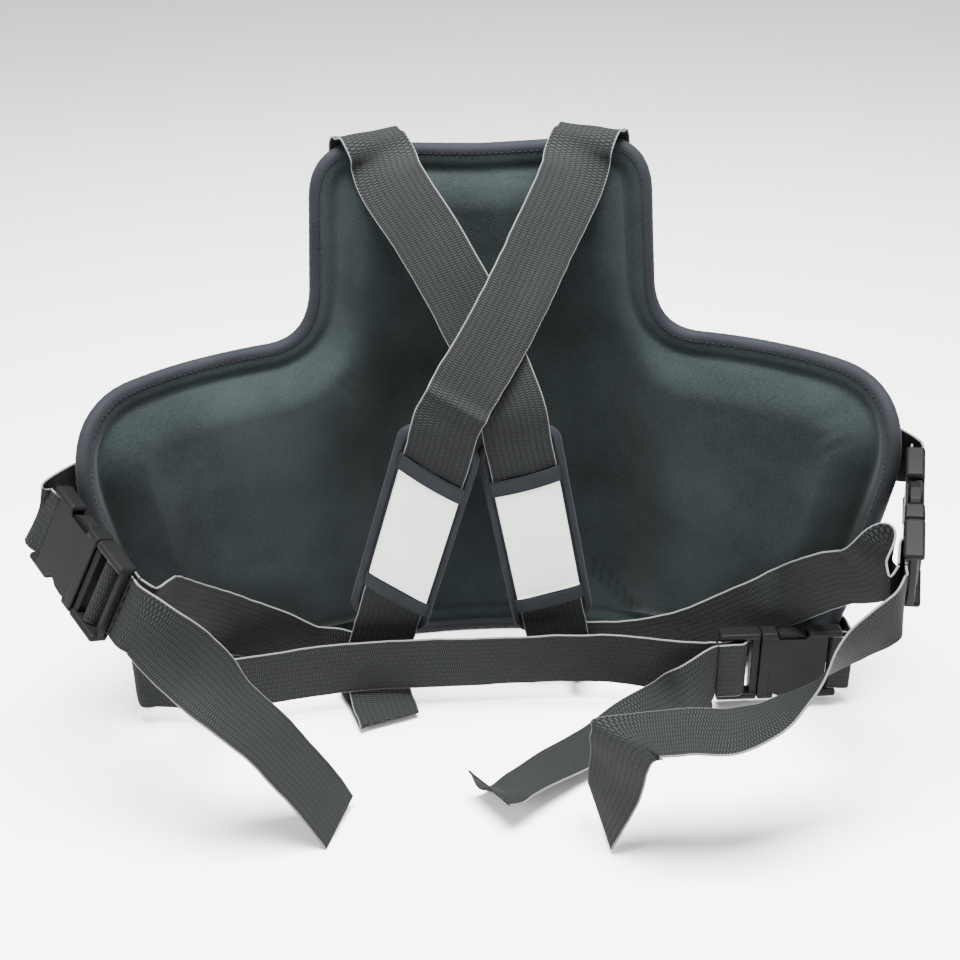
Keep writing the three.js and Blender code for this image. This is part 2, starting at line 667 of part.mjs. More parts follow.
// Webbing loops that hold the female halves, sewn to the outer cover and turned round the strap bars.
function makeBuckleLoops() {
  const sides = [
    { side: 'left', sign: -1, arcs: [296, 312, 326], z: 218, up: [-0.45, -0.04, -0.89] },
    { side: 'right', sign: 1, arcs: [286, 300, 314], z: 222, up: [0.2, 0.4, -0.9] },
  ];
  for (const { side, sign, arcs, z, up } of sides) {
    const place = BUCKLE_PLACES[side];
    const sewn = arcs.map((s) => bend(sign * s, z, LEVELS.coverOuter(sign * s, z) + 4));
    const round = [[-9, -4.2], [2.2, -3.4], [6.4, -2.8], [7.9, 0], [6.4, 2.8], [2.2, 3.4], [-7, 3]];
    const route = [
      ...sewn.map((point) => station(point.toArray(), [0, 0, -1])),
      ...round.map(([x, depth]) => station(localPoint(place, x, depth), up)),
    ];
    addMesh(`${side}_buckle_loop`, ribbon(route, 36), MATERIALS.webbing);
  }
  const { waist } = BUCKLE_PLACES;
  const sewn = [262, 276, 290].map((s) => bend(s, 42, LEVELS.coverOuter(s, 42) + 4.5));
  const turn = [[305, 12], [317, 7]].map(([s, offset]) => bend(s, 42, offset));
  const round = [[-9, 4.5], [2.2, 3.4], [6.4, 2.8], [7.9, 0], [6.4, -2.8], [2.2, -3.4], [-6, -3]];
  addMesh('waist_buckle_loop', ribbon([
    ...[...sewn, ...turn].map((point) => station(point.toArray(), [0, 0, -1])),
    ...round.map(([x, depth]) => station(localPoint(waist, x, depth), [0, 0, -1])),
  ], 40), MATERIALS.webbing);
}

// A pad's own frame has X across the webbing, Y down it and Z towards the shell.
function shoulderPadFrame({ top, bottom, across, padShift }) {
  const down = vector(bottom).sub(vector(top)).normalize();
  const side = vector(across).addScaledVector(down, -vector(across).dot(down)).normalize();
  const towardsShell = new THREE.Vector3().crossVectors(side, down);
  const centre = vector(top).lerp(vector(bottom), 0.5).addScaledVector(down, padShift);
  return new THREE.Matrix4().makeBasis(side, down, towardsShell).setPosition(centre);
}

function cushion() {
  const inner = SHOULDER_PAD.binding + 4 * GAP;
  const shape = new THREE.Shape();
  roundedRectangle(shape, SHOULDER_PAD.width / 2 - inner, SHOULDER_PAD.length / 2 - inner, 10);
  return new THREE.ExtrudeGeometry(shape, {
    depth: SHOULDER_PAD.thickness,
    bevelEnabled: false,
    curveSegments: 4,
  });
}

function padBinding() {
  const { width, length, thickness, binding } = SHOULDER_PAD;
  const edge = new THREE.Path();
  roundedRectangle(edge, width / 2 - binding, length / 2 - binding, 9);
  const ring = edge.getSpacedPoints(36).slice(0, -1);
  const outside = inset(ring, -1);
  const sections = ring.map((point, i) => Array.from({ length: 6 }, (_, k) => {
    const angle = (k * Math.PI) / 3;
    const reach = (Math.cos(angle) + 1) * binding * 0.9;
    const out = outside[i].clone().sub(point).multiplyScalar(reach).add(point);
    return new THREE.Vector3(out.x, out.y, (1 + Math.sin(angle)) * (thickness / 2));
  }));
  return loft(sections, true);
}

// The sleeve is a channel over the webbing, whose legs reach the cushion.
function sleeveChannel(outer, webbingFace) {
  const legs = webbingFace - GAP;
  const inner = outer - SLEEVE.wall;
  const shape = new THREE.Shape();
  shape.moveTo(-outer, legs);
  shape.lineTo(-outer, -webbingFace - SLEEVE.wall);
  shape.lineTo(outer, -webbingFace - SLEEVE.wall);
  shape.lineTo(outer, legs);
  shape.lineTo(inner, legs);
  shape.lineTo(inner, -webbingFace);
  shape.lineTo(-inner, -webbingFace);
  shape.lineTo(-inner, legs);
  const channel = new THREE.ExtrudeGeometry(shape, { depth: SLEEVE.length, bevelEnabled: false });
  return channel.rotateX(Math.PI / 2).translate(0, SLEEVE.length / 2, 0);
}

function makeShoulderPad(side) {
  const group = new THREE.Group();
  group.applyMatrix4(shoulderPadFrame(PAD_RUNS[side]));
  protector.add(group);
  const webbingFace = WEBBING / 2 + GAP;
  const outer = WEBBING_WIDTH / 2 + SLEEVE.wall + 0.8;
  const front = -webbingFace - SLEEVE.wall - GAP;
  const name = `${side}_shoulder_pad`;
  addMesh(name, cushion().translate(0, 0, webbingFace), MATERIALS.neoprene, group);
  addMesh(`${name}_binding`, padBinding().translate(0, 0, webbingFace), MATERIALS.binding, group);
  const { panelAt } = PAD_RUNS[side];
  const channel = sleeveChannel(outer, webbingFace).translate(0, panelAt, 0);
  addMesh(`${name}_sleeve`, channel, MATERIALS.neoprene, group);
  const panel = block(
    [-PANEL.width / 2, panelAt - PANEL.length / 2, front - PANEL.thickness],
    [PANEL.width / 2, panelAt + PANEL.length / 2, front],
  );
  addMesh(`${name}_panel`, panel, MATERIALS.panel, group);
  const near = PANEL.length / 2 + GAP;
  const far = near + SLEEVE.hem;
  const hem = (from, to) => block(
    [-outer, panelAt + from, front - SLEEVE.fold],
    [outer, panelAt + to, front],
  );
  addMesh(`${name}_hem_upper`, hem(-far, -near), MATERIALS.binding, group);
  addMesh(`${name}_hem_lower`, hem(near, far), MATERIALS.binding, group);
}

function roundedRectangle(path, halfX, halfY, radius) {
  path.moveTo(halfX, -halfY + radius);
  path.lineTo(halfX, halfY - radius);
  path.absarc(halfX - radius, halfY - radius, radius, 0, Math.PI / 2, false);
  path.lineTo(-halfX + radius, halfY);
  path.absarc(-halfX + radius, halfY - radius, radius, Math.PI / 2, Math.PI, false);
  path.lineTo(-halfX, -halfY + radius);
  path.absarc(-halfX + radius, -halfY + radius, radius, Math.PI, Math.PI * 1.5, false);
  path.lineTo(halfX - radius, -halfY);
  path.absarc(halfX - radius, -halfY + radius, radius, Math.PI * 1.5, Math.PI * 2, false);
}

makeShell();
makeBinding();
makeShoulderStraps();
makeLowerStraps();
makeTails();
makeWaistStrap();
makeBuckleLoops();
makeBuckle('left');
makeBuckle('right');
makeBuckle('waist');
makeShoulderPad('left');
makeShoulderPad('right');

export default protector;
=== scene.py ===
"""Visual model of a padded chest protector, standing on its lower edge, seen from the wearer's side.

Shapes are worked out in millimetres and handed to Blender in metres. +Z is up and -Y faces the wearer.
"""
import math

import bmesh
import bpy
import numpy as np
from mathutils import Matrix, Vector


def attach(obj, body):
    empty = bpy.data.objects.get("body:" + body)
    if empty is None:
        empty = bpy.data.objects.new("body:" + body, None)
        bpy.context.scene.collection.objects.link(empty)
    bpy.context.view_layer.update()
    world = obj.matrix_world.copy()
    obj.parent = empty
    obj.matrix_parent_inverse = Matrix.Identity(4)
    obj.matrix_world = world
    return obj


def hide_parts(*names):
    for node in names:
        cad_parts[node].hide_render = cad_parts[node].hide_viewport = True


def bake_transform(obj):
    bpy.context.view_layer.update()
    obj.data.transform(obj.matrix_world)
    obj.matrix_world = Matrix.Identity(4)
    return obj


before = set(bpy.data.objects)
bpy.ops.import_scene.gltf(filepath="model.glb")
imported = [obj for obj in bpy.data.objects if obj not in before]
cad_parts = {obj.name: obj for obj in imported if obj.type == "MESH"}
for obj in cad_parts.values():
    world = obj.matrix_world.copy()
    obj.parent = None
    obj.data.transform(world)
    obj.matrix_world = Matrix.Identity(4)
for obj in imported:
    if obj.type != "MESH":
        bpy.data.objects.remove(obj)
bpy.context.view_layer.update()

MM = 0.001

# The shell and its layers, in millimetres.
BODY_HEIGHT = 436.0
CHEST_HALF_WIDTH = 124.0
WING_TOP = 282.0
WING_REACH = 345.0
WING_FOOT = 288.0
BINDING_RADIUS = 6.0
LOWEST = BINDING_RADIUS * math.cos(math.pi / 8)
WRAP_CURVATURE = 1 / 600
WRAP_TIGHTENING = 5.2e-8
LINING = 2.4
COVER = 2.0
FOAM_AT_EDGE = 3.0
FOAM_IN_MIDDLE = 17.0
WING_PAD_RISE = 24.0
CHEST_PAD_RISE = 16.0
BELLY_BULGE = 20.0
GAP = 0.3
HALF_EDGE = 4.9

# The webbing's width and thickness, and how far apart its sections are.
WEBBING_WIDTH = 50.0
WEBBING = 1.6
WEBBING_STEP = 1.5


# ---------------------------------------------------------------- numbers

def smooth(value, low, high):
    t = np.clip((np.asarray(value, float) - low) / (high - low), 0, 1)
    return t * t * (3 - 2 * t)


def unit(vector):
    vector = np.asarray(vector, float)
    return vector / np.linalg.norm(vector, axis=-1, keepdims=True)


def ripple(a, b, scale, seed):
    """Smooth, uneven waves in -1..1 over two coordinates, about scale apart."""
    draw = np.random.RandomState(seed)
    total = np.zeros(np.broadcast(a, b).shape)
    waves = 9
    for _ in range(waves):
        angle, phase = draw.uniform(0, 2 * math.pi, 2)
        wave = scale * draw.uniform(0.6, 1.8)
        along = np.cos(angle) * a + np.sin(angle) * b
        total += np.sin(2 * math.pi * along / wave + phase)
    return total / (waves / 2)


# ---------------------------------------------------------------- the shell's surface

ARC_STEP = 0.1
ARC = np.arange(0, 420, ARC_STEP)


def heading(s):
    return WRAP_CURVATURE * s + WRAP_TIGHTENING * s ** 3 / 3


MIDDLES = heading(ARC[:-1] + ARC_STEP / 2)
PLAN_X = np.concatenate([[0], np.cumsum(np.cos(MIDDLES)) * ARC_STEP])
PLAN_Y = np.concatenate([[0], -np.cumsum(np.sin(MIDDLES)) * ARC_STEP])


def bend(s, z, offset):
    """A point of the shell at arc length s and height z, offset outwards from the wearer."""
    s = np.asarray(s, float)
    angle = heading(s)
    x = np.sign(s) * np.interp(abs(s), ARC, PLAN_X) + np.sin(angle) * offset
    y = np.interp(abs(s), ARC, PLAN_Y) + np.cos(angle) * offset
    return np.stack(np.broadcast_arrays(x, y, z), -1)


def bezier(controls, count):
    points = np.repeat(np.array(controls, float)[None], count, 0)
    t = np.linspace(0, 1, count)[:, None, None]
    while points.shape[1] > 1:
        points = points[:, :-1] * (1 - t) + points[:, 1:] * t
    return points[:, 0]


def resample(points, count, closed=False):
    """The same line with count points spaced evenly along it."""
    if closed:
        points = np.concatenate([points, points[:1]])
    reach = np.concatenate([[0], np.cumsum(np.linalg.norm(np.diff(points, axis=0), axis=1))])
    at = np.linspace(0, reach[-1], count, endpoint=not closed)
    return np.stack([np.interp(at, reach, points[:, i]) for i in range(points.shape[1])], -1)


def half_outline():
    """The binding's centre line from the middle of the lower edge to the middle of the top edge."""
    side, top = CHEST_HALF_WIDTH, BODY_HEIGHT
    shoulder = (WING_REACH - 62, WING_TOP)
    armpit = (side + 48, WING_TOP)
    wing_end = (WING_REACH, WING_TOP - 72)
    foot_start = (WING_FOOT - 40, LOWEST)
    foot_end = (WING_FOOT + 14, 50)
    curves = [
        [(0, LOWEST), foot_start],
        [foot_start, (WING_FOOT, LOWEST), foot_end],
        [foot_end, wing_end],
        [wing_end, (WING_REACH + 11, WING_TOP - 18), (WING_REACH - 22, WING_TOP), shoulder],
        [shoulder, armpit],
        [armpit, (side + 10, WING_TOP), (side + 5, WING_TOP + 42)],
        [(side + 5, WING_TOP + 42), (side, top - 40)],
        [(side, top - 40), (side - 2, top - 6), (side - 34, top - 5)],
        [(side - 34, top - 5), (40, top - 9), (0, top - 10)],
    ]
    return np.concatenate([bezier(curve, 80)[:-1] for curve in curves] + [[(0, top - 10)]])


def outline(count):
    half = resample(half_outline(), count // 2 + 1)
    left = half[1:-1][::-1] * [-1, 1]
    return np.concatenate([half, left])


def inward(points):
    """The direction towards the inside, square to a closed outline that runs anticlockwise."""
    along = unit(np.roll(points, -1, 0) - np.roll(points, 1, 0))
    return np.stack([-along[:, 1], along[:, 0]], -1)


def inset(points, distance):
    return points + inward(points) * distance


SEAM_INSET = 1.5
OUTLINE = outline(640)
LAYER_EDGE = inset(OUTLINE, SEAM_INSET)
POLE = np.array([0.0, 190.0])
DISTANCE_BATCH = 4000


def edge_distance(s, z):
    """How far inside the padding's edge a flat point lies, and 0 on the edge or beyond it."""
    flat = np.stack([np.ravel(s), np.ravel(z)], -1)
    nearest = np.empty(len(flat))
    for start in range(0, len(flat), DISTANCE_BATCH):
        batch = slice(start, start + DISTANCE_BATCH)
        apart = flat[batch, None] - OUTLINE[None]
        nearest[batch] = np.sqrt((apart ** 2).sum(2).min(1))
    return np.maximum(nearest.reshape(np.shape(s)) - BINDING_RADIUS - 2 * GAP, 0)


class Fan:
    """A grid over the whole shell, ring by ring from the pole to the layers' edge."""

    def __init__(self):
        inner = np.linspace(0.015, 0.5, 34)
        outer = np.linspace(0.5, 1, 84)[1:]
        self.rings = np.concatenate([inner, outer])
        flat = POLE + (LAYER_EDGE - POLE)[None] * self.rings[:, None, None]
        self.s, self.z = flat[..., 0], flat[..., 1]
        self.edge = edge_distance(self.s, self.z)


FAN = Fan()


def belly_bulge(s, z):
    return BELLY_BULGE * (1 - smooth(np.hypot(s / 1.25, z - 140), 30, 190))


def pad_rise(s, z, edge):
    """How far the padding stands out towards the wearer: a steep wall with a rounded top."""
    climbed = np.clip((edge - 9) / 27, 0, 1)
    wall = 1 - (1 - climbed) ** 2.2
    wing = np.maximum(smooth(-s, 62, 128), smooth(s, 98, 166)) * (1 - smooth(z, 262, 318))
    chest = smooth(z, 262, 345)
    return wall * (WING_PAD_RISE * wing + CHEST_PAD_RISE * chest * (1 - wing))


def crease(s, z, start, end, width, depth):
    """A furrow along a straight line from start to end that fades at its ends."""
    start, end = np.array(start, float), np.array(end, float)
    along = unit(end - start)
    length = np.linalg.norm(end - start)
    ahead = (s - start[0]) * along[0] + (z - start[1]) * along[1]
    aside = (s - start[0]) * -along[1] + (z - start[1]) * along[0]
    fade = smooth(ahead, -0.1 * length, 0.25 * length) * (1 - smooth(ahead, 0.75 * length, 1.1 * length))
    return depth * fade * np.exp(-(aside / width) ** 2)


# Short folds of the loose lining: start and end as (arc length, height), then width and depth.
FOLDS = [
    *[((-118 - 5 * i, 284 - 9 * i), (-90 - 7 * i, 250 - 6 * i), 4.0, 0.7) for i in range(3)],
    *[((326 - 1 * i, 266 - 12 * i), (284 + 6 * i, 244 - 12 * i), 4.0, 1.0) for i in range(3)],
    *[((94 + 7 * i, 70 - 5 * i), (92 + 7 * i, 46 - 5 * i), 1.8, 1.6) for i in range(7)],
    ((-96, 172), (-90, 148), 2.4, 1.2),
    ((-98, 372), (-100, 330), 4.0, 1.6),
    ((-30, 408), (80, 404), 2.4, 0.9),
]


def lining_inner():
    s, z, edge = FAN.s, FAN.z, FAN.edge
    level = belly_bulge(s, z) - HALF_EDGE - pad_rise(s, z, edge)
    inside = smooth(edge, 0, 14)
    level += 1.6 * np.exp(-((edge - 7) / 4) ** 2)
    level += inside * (0.7 * ripple(s, z, 95, 2) + 0.22 * ripple(s, z, 34, 6))
    for start, end, width, depth in FOLDS:
        level += inside * crease(s, z, start, end, width, depth)
    return level


FOAM_INNER = belly_bulge(FAN.s, FAN.z) + HALF_EDGE - COVER - GAP - FOAM_AT_EDGE
FOAM_OUTER = FOAM_INNER + FOAM_AT_EDGE + (FOAM_IN_MIDDLE - FOAM_AT_EDGE) * smooth(FAN.edge, 0, 80)
LINING_INNER = lining_inner()


# ---------------------------------------------------------------- materials

def node(tree, kind, **inputs):
    made = tree.nodes.new(kind)
    for name, value in inputs.items():
        made.inputs[name.replace("_", " ")].default_value = value
    return made


def math_node(tree, operation, first, second=None):
    made = tree.nodes.new("ShaderNodeMath")
    made.operation = operation
    for socket, value in zip(made.inputs, (first, second)):
        if value is None:
            continue
        if isinstance(value, (int, float)):
            socket.default_value = value
        else:
            tree.links.new(value, socket)
    return made.outputs[0]


def ramp(tree, factor, dark, light, low=0.3, high=0.7):
    made = tree.nodes.new("ShaderNodeValToRGB")
    for element, place, colour in zip(made.color_ramp.elements, (low, high), (dark, light)):
        element.position = place
        element.color = (*colour, 1)
    tree.links.new(factor, made.inputs[0])
    return made.outputs[0]


def base_material(name, roughness, sheen=0.0, specular=0.4):
    material = bpy.data.materials.new(name)
    material.use_nodes = True
    tree = material.node_tree
    shader = tree.nodes["Principled BSDF"]
    shader.inputs["Roughness"].default_value = roughness
    shader.inputs["Sheen Weight"].default_value = sheen
    shader.inputs["Sheen Roughness"].default_value = 0.45
    shader.inputs["Specular IOR Level"].default_value = specular
    return material, tree, shader


def bump(tree, shader, height, distance, strength=1.0):
    made = node(tree, "ShaderNodeBump", Strength=strength, Distance=distance)
    tree.links.new(height, made.inputs["Height"])
    tree.links.new(made.outputs[0], shader.inputs["Normal"])


def noise(tree, scale, detail=3.0, roughness=0.5):
    place = tree.nodes.new("ShaderNodeTexCoord")
    made = node(tree, "ShaderNodeTexNoise", Scale=scale, Detail=detail, Roughness=roughness)
    tree.links.new(place.outputs["Object"], made.inputs["Vector"])
    return made.outputs[0]


def grainy(name, dark, light, roughness, grain, depth, blotch, sheen=0.0, specular=0.4):
    """A plain surface with a fine grain and soft, broad changes of tone.

    Grain and blotch are the two noises' scales, and depth is how far the grain stands out, in metres.
    """
    material, tree, shader = base_material(name, roughness, sheen, specular)
    fine = noise(tree, grain, 4.0, 0.6)
    broad = noise(tree, blotch, 3.0)
    fine_share = math_node(tree, "MULTIPLY", fine, 0.45)
    broad_share = math_node(tree, "MULTIPLY", broad, 0.55)
    mixed = math_node(tree, "ADD", fine_share, broad_share)
    tree.links.new(ramp(tree, mixed, dark, light, 0.35, 0.65), shader.inputs["Base Color"])
    bump(tree, shader, fine, depth)
    return material


def woven(name, dark, light, pitch, weft, plain_half_width):
    """Webbing: ribs across the width, crossed by warp threads, with paler threads along both edges; the
    colour follows the ribs' height, with painted shade in the hollows between ribs and painted highlight
    on their tops.
    """
    material, tree, shader = base_material(name, roughness=0.8, specular=0.06)

    def combine(operation, first, second=None):
        return math_node(tree, operation, first, second)

    def wave(place):
        return combine("ABSOLUTE", combine("SINE", combine("MULTIPLY", place, math.pi)))

    place = tree.nodes.new("ShaderNodeUVMap")
    split = tree.nodes.new("ShaderNodeSeparateXYZ")
    tree.links.new(place.outputs[0], split.inputs[0])
    across, along = split.outputs[0], split.outputs[1]
    column = combine("DIVIDE", across, weft)
    odd = combine("MODULO", combine("FLOOR", combine("ADD", column, 1000.0)), 2.0)
    row = combine("ADD", combine("DIVIDE", along, pitch), combine("MULTIPLY", odd, 0.5))
    rib = combine("MULTIPLY", wave(row), combine("POWER", wave(column), 0.2))
    speck = noise(tree, 900.0, 2.0)
    height = combine("ADD", combine("MULTIPLY", rib, 0.72), combine("MULTIPLY", speck, 0.28))
    # Painted shade and highlight: the ribs' colour goes from dark in the hollows to light on the tops,
    # with a random speckle.
    painted_rib_shade = ramp(tree, height, dark, light, 0.15, 0.8)
    beyond = combine("GREATER_THAN", combine("ABSOLUTE", across), plain_half_width)
    mixer = tree.nodes.new("ShaderNodeMix")
    mixer.data_type = "RGBA"
    tree.links.new(combine("MULTIPLY", beyond, 0.35), mixer.inputs[0])
    tree.links.new(painted_rib_shade, mixer.inputs["A"])
    mixer.inputs["B"].default_value = (*EDGE_THREAD, 1)
    tree.links.new(mixer.outputs["Result"], shader.inputs["Base Color"])
    bump(tree, shader, height, 0.0004, 0.9)
    return material


EDGE_THREAD = (0.25, 0.25, 0.25)
LINING_CLOTH = grainy(
    "lining_cloth", dark=(0.0038, 0.0056, 0.0060), light=(0.0132, 0.0176, 0.0176),
    roughness=0.9, grain=700, depth=0.0003, blotch=11, sheen=0.06, specular=0.05)
COVER_SKIN = grainy(
    "cover_skin", dark=(0.005, 0.005, 0.0055), light=(0.009, 0.009, 0.0096),
    roughness=0.5, grain=420, depth=0.00015, blotch=8, specular=0.12)
FOAM = grainy(
    "foam", dark=(0.05, 0.052, 0.055), light=(0.08, 0.082, 0.085),
    roughness=0.95, grain=900, depth=0.0003, blotch=30)
NEOPRENE = grainy(
    "neoprene", dark=(0.0045, 0.0052, 0.0068), light=(0.009, 0.0102, 0.0128),
    roughness=0.75, grain=1100, depth=0.00015, blotch=25, sheen=0.03, specular=0.1)
THREAD = grainy(
    "thread", dark=(0.006, 0.006, 0.008), light=(0.012, 0.012, 0.015),
    roughness=0.7, grain=2000, depth=0.0001, blotch=40, specular=0.08)
PANEL_CLOTH = grainy(
    "panel_cloth", dark=(0.46, 0.51, 0.46), light=(0.52, 0.56, 0.51),
    roughness=0.5, grain=1500, depth=0.00006, blotch=18, sheen=0.1)
PLASTIC = grainy(
    "plastic", dark=(0.0036, 0.0037, 0.0039), light=(0.006, 0.0062, 0.0065),
    roughness=0.5, grain=1200, depth=0.00004, blotch=20, specular=0.05)
WEBBING_CLOTH = woven(
    "webbing_cloth", dark=(0.0009, 0.001, 0.001), light=(0.015, 0.0162, 0.0162),
    pitch=0.0018, weft=0.0044, plain_half_width=0.0243)
FLOOR = grainy(
    "floor", dark=(0.93, 0.93, 0.93), light=(0.95, 0.95, 0.95),
    roughness=0.7, grain=30, depth=0.0001, blotch=2)


# ---------------------------------------------------------------- meshes

def show(name, mesh, material, body, stands_for=()):
    mesh.shade_smooth()
    obj = bpy.data.objects.new(name, mesh)
    bpy.context.collection.objects.link(obj)
    mesh.materials.append(material)
    if body:
        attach(obj, body)
    if stands_for:
        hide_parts(*stands_for)
    return obj


def add_mesh(name, points, faces, material, body, stands_for=(), uv=None):
    """A mesh from points in millimetres; uv holds one pair in metres for each point."""
    mesh = bpy.data.meshes.new(name)
    mesh.from_pydata((np.asarray(points) * MM).tolist(), [], faces)
    mesh.validate()
    if uv is not None:
        layer = mesh.uv_layers.new(name="UVMap")
        corner = np.empty(len(mesh.loops), int)
        mesh.loops.foreach_get("vertex_index", corner)
        layer.data.foreach_set("uv", (np.asarray(uv)[corner]).ravel())
    return show(name, mesh, material, body, stands_for)


def quads(rows, columns, wrap_rows=False, wrap_columns=False, start=0):
    last_row = rows if wrap_rows else rows - 1
    last_column = columns if wrap_columns else columns - 1
    r, c = np.meshgrid(np.arange(last_row), np.arange(last_column), indexing="ij")
    r2, c2 = (r + 1) % rows, (c + 1) % columns
    made = np.stack([r * columns + c, r * columns + c2, r2 * columns + c2, r2 * columns + c], -1)
    return (made.reshape(-1, 4) + start).tolist()


def outward(points, faces):
    """The faces, turned if the closed surface is inside out."""
    points = np.asarray(points)
    fans = [(face[0], face[i], face[i + 1]) for face in faces for i in range(1, len(face) - 1)]
    a, b, c = points[np.array(fans).T]
    volume = (a * np.cross(b, c)).sum()
    return faces if volume > 0 else [face[::-1] for face in faces]


def fan_layer(name, inner, outer, material):
    """A layer over the whole shell between two levels given on the fan's grid."""
    rings, count = FAN.s.shape
    skins = [bend(FAN.s, FAN.z, level).reshape(-1, 3) for level in (inner, outer)]
    points = np.concatenate(skins)
    half = rings * count
    front = [face[::-1] for face in quads(rings, count, wrap_columns=True)]
    back = quads(rings, count, wrap_columns=True, start=half)
    rim = half - count
    sides = []
    for i in range(count):
        following = (i + 1) % count
        sides.append([rim + i, rim + following, half + rim + following, half + rim + i])
    caps = [list(range(count)), list(range(half, half + count))[::-1]]
    faces = outward(points, front + back + sides + caps)
    return add_mesh(name, points, faces, material, "shell", [name])


def sector_pad(name, first, last, low_ring, high_ring):
    """A hidden pad between the lining and the foam over part of the fan's grid."""
    columns = np.arange(first, last) % FAN.s.shape[1]
    rows = np.flatnonzero((FAN.rings >= low_ring) & (FAN.rings <= high_ring))
    pick = np.ix_(rows, columns)
    s, z = FAN.s[pick], FAN.z[pick]
    low = bend(s, z, LINING_INNER[pick] + LINING + GAP)
    high = bend(s, z, FOAM_INNER[pick] - GAP)
    sections = np.concatenate([low, high[::-1]], 0)
    count, width = sections.shape[:2]
    points = sections.reshape(-1, 3)
    side = count // 2
    faces = quads(count, width, wrap_rows=True)
    for column in (0, width - 1):
        for r in range(side - 1):
            far = count - 1 - r
            cap = [row * width + column for row in (r, r + 1, far - 1, far)]
            faces.append(cap if column == 0 else cap[::-1])
    obj = add_mesh(name, points, outward(points, faces), FOAM, "shell", [name])


def sweep(name, sections, material, body, stands_for=(), closed=False, uv=None):
    """A solid through sections of equal point counts."""
    rows, count = sections.shape[:2]
    points = sections.reshape(-1, 3)
    faces = quads(rows, count, wrap_rows=closed, wrap_columns=True)
    if not closed:
        faces += [list(range(count))[::-1], list(range((rows - 1) * count, rows * count))]
    return add_mesh(name, points, outward(points, faces), material, body, stands_for, uv)


def capsules(name, starts, ends, radius, body):
    """Stitches: short round-ended threads, one from each start to its end."""
    sides, rings = 6, 5
    axis = unit(ends - starts)
    guide = np.where(abs(axis[:, 2:3]) < 0.9, [[0, 0, 1.0]], [[1.0, 0, 0]])
    first = unit(np.cross(axis, guide))
    second = np.cross(axis, first)
    turn = np.arange(sides) * 2 * math.pi / sides
    share = np.array([0.0, 0.16, 0.5, 0.84, 1.0])
    swell = np.array([0.25, 0.8, 1.0, 0.8, 0.25])
    centre = starts[:, None] + (ends - starts)[:, None] * share[None, :, None]
    around = first[:, None] * np.cos(turn)[None, :, None] + second[:, None] * np.sin(turn)[None, :, None]
    points = centre[:, :, None] + around[:, None] * (radius * swell)[None, :, None, None]
    one = quads(rings, sides, wrap_columns=True)
    one += [list(range(sides))[::-1], list(range((rings - 1) * sides, rings * sides))]
    faces = [[v + k * rings * sides for v in face] for k in range(len(starts)) for face in one]
    add_mesh(name, points.reshape(-1, 3), faces, THREAD, body)


def stitch_line(name, path, pitch, radius, body, closed=False):
    """Stitches along a path of points, each taking up two thirds of the pitch."""
    length = np.linalg.norm(np.diff(path, axis=0), axis=1).sum()
    count = max(2, int(length / pitch))
    line = resample(path, count * 3 + (0 if closed else 1), closed)
    starts = line[0:-2:3]
    ends = line[2::3][:len(starts)]
    capsules(name, starts[:len(ends)], ends, radius, body)


# ---------------------------------------------------------------- shell

# The share of the way from the pole to the edge where the hidden pads start and end.
PAD_RINGS = (0.42, 0.86)


def make_layers():
    lining = fan_layer("lining", LINING_INNER, LINING_INNER + LINING, LINING_CLOTH)
    foam = fan_layer("front_foam", FOAM_INNER, FOAM_OUTER, FOAM)
    fan_layer("outer_cover", FOAM_OUTER + GAP, FOAM_OUTER + GAP + COVER, COVER_SKIN)
    count = len(LAYER_EDGE)
    angle = np.degrees(np.arctan2(LAYER_EDGE[:, 1] - POLE[1], LAYER_EDGE[:, 0]))

    def index(degrees):
        return int(np.argmin(abs((angle - degrees + 180) % 360 - 180)))

    # The right wing's pad goes a whole turn further round the shell, through the other two.
    sector_pad("wing_pad_right", index(-48), index(25) + count, *PAD_RINGS)
    sector_pad("chest_pad", index(58), index(122), *PAD_RINGS)
    sector_pad("wing_pad_left", index(155), index(228), *PAD_RINGS)


BINDING_ROLL = 5.4
STITCH_LEVEL = 5.35
ABOVE_FLOOR = 0.05


def make_binding():
    """The roll round the shell's edge, open towards the layers, with a row of stitches on each face."""
    line = outline(900)
    into = inward(line)
    profile = [(3.0, -3.6), (2.9, -4.6), (2.2, -5.1), (1.0, -5.3)]
    for k in range(11):
        angle = math.radians(-90 - 18 * k)
        profile.append((math.cos(angle) * BINDING_ROLL, math.sin(angle) * BINDING_ROLL))
    profile += [(1.0, 5.3), (2.2, 5.1), (2.9, 4.6), (3.0, 3.6)]
    profile = np.array(profile)
    walked = np.arange(len(line)) * 2.2
    pucker = 1 + 0.012 * np.sin(2 * math.pi * walked / 8.2) + 0.02 * ripple(walked, 0 * walked, 60, 4)
    flat = line[:, None] + into[:, None] * profile[None, :, 0:1] * pucker[:, None, None]
    flat[..., 1] = np.maximum(flat[..., 1], ABOVE_FLOOR)
    depth = profile[None, :, 1] * pucker[:, None]
    sections = bend(flat[..., 0], flat[..., 1], depth)
    sweep("edge_binding", sections, NEOPRENE, "shell", ["edge_binding"], closed=True)
    for side, offset in (("inner", -STITCH_LEVEL), ("outer", STITCH_LEVEL)):
        seam = inset(line, SEAM_INSET)
        path = bend(seam[:, 0], seam[:, 1], offset)
        stitch_line(f"binding_stitches_{side}", path, 4.4, 0.42, "shell", closed=True)


# ---------------------------------------------------------------- webbing

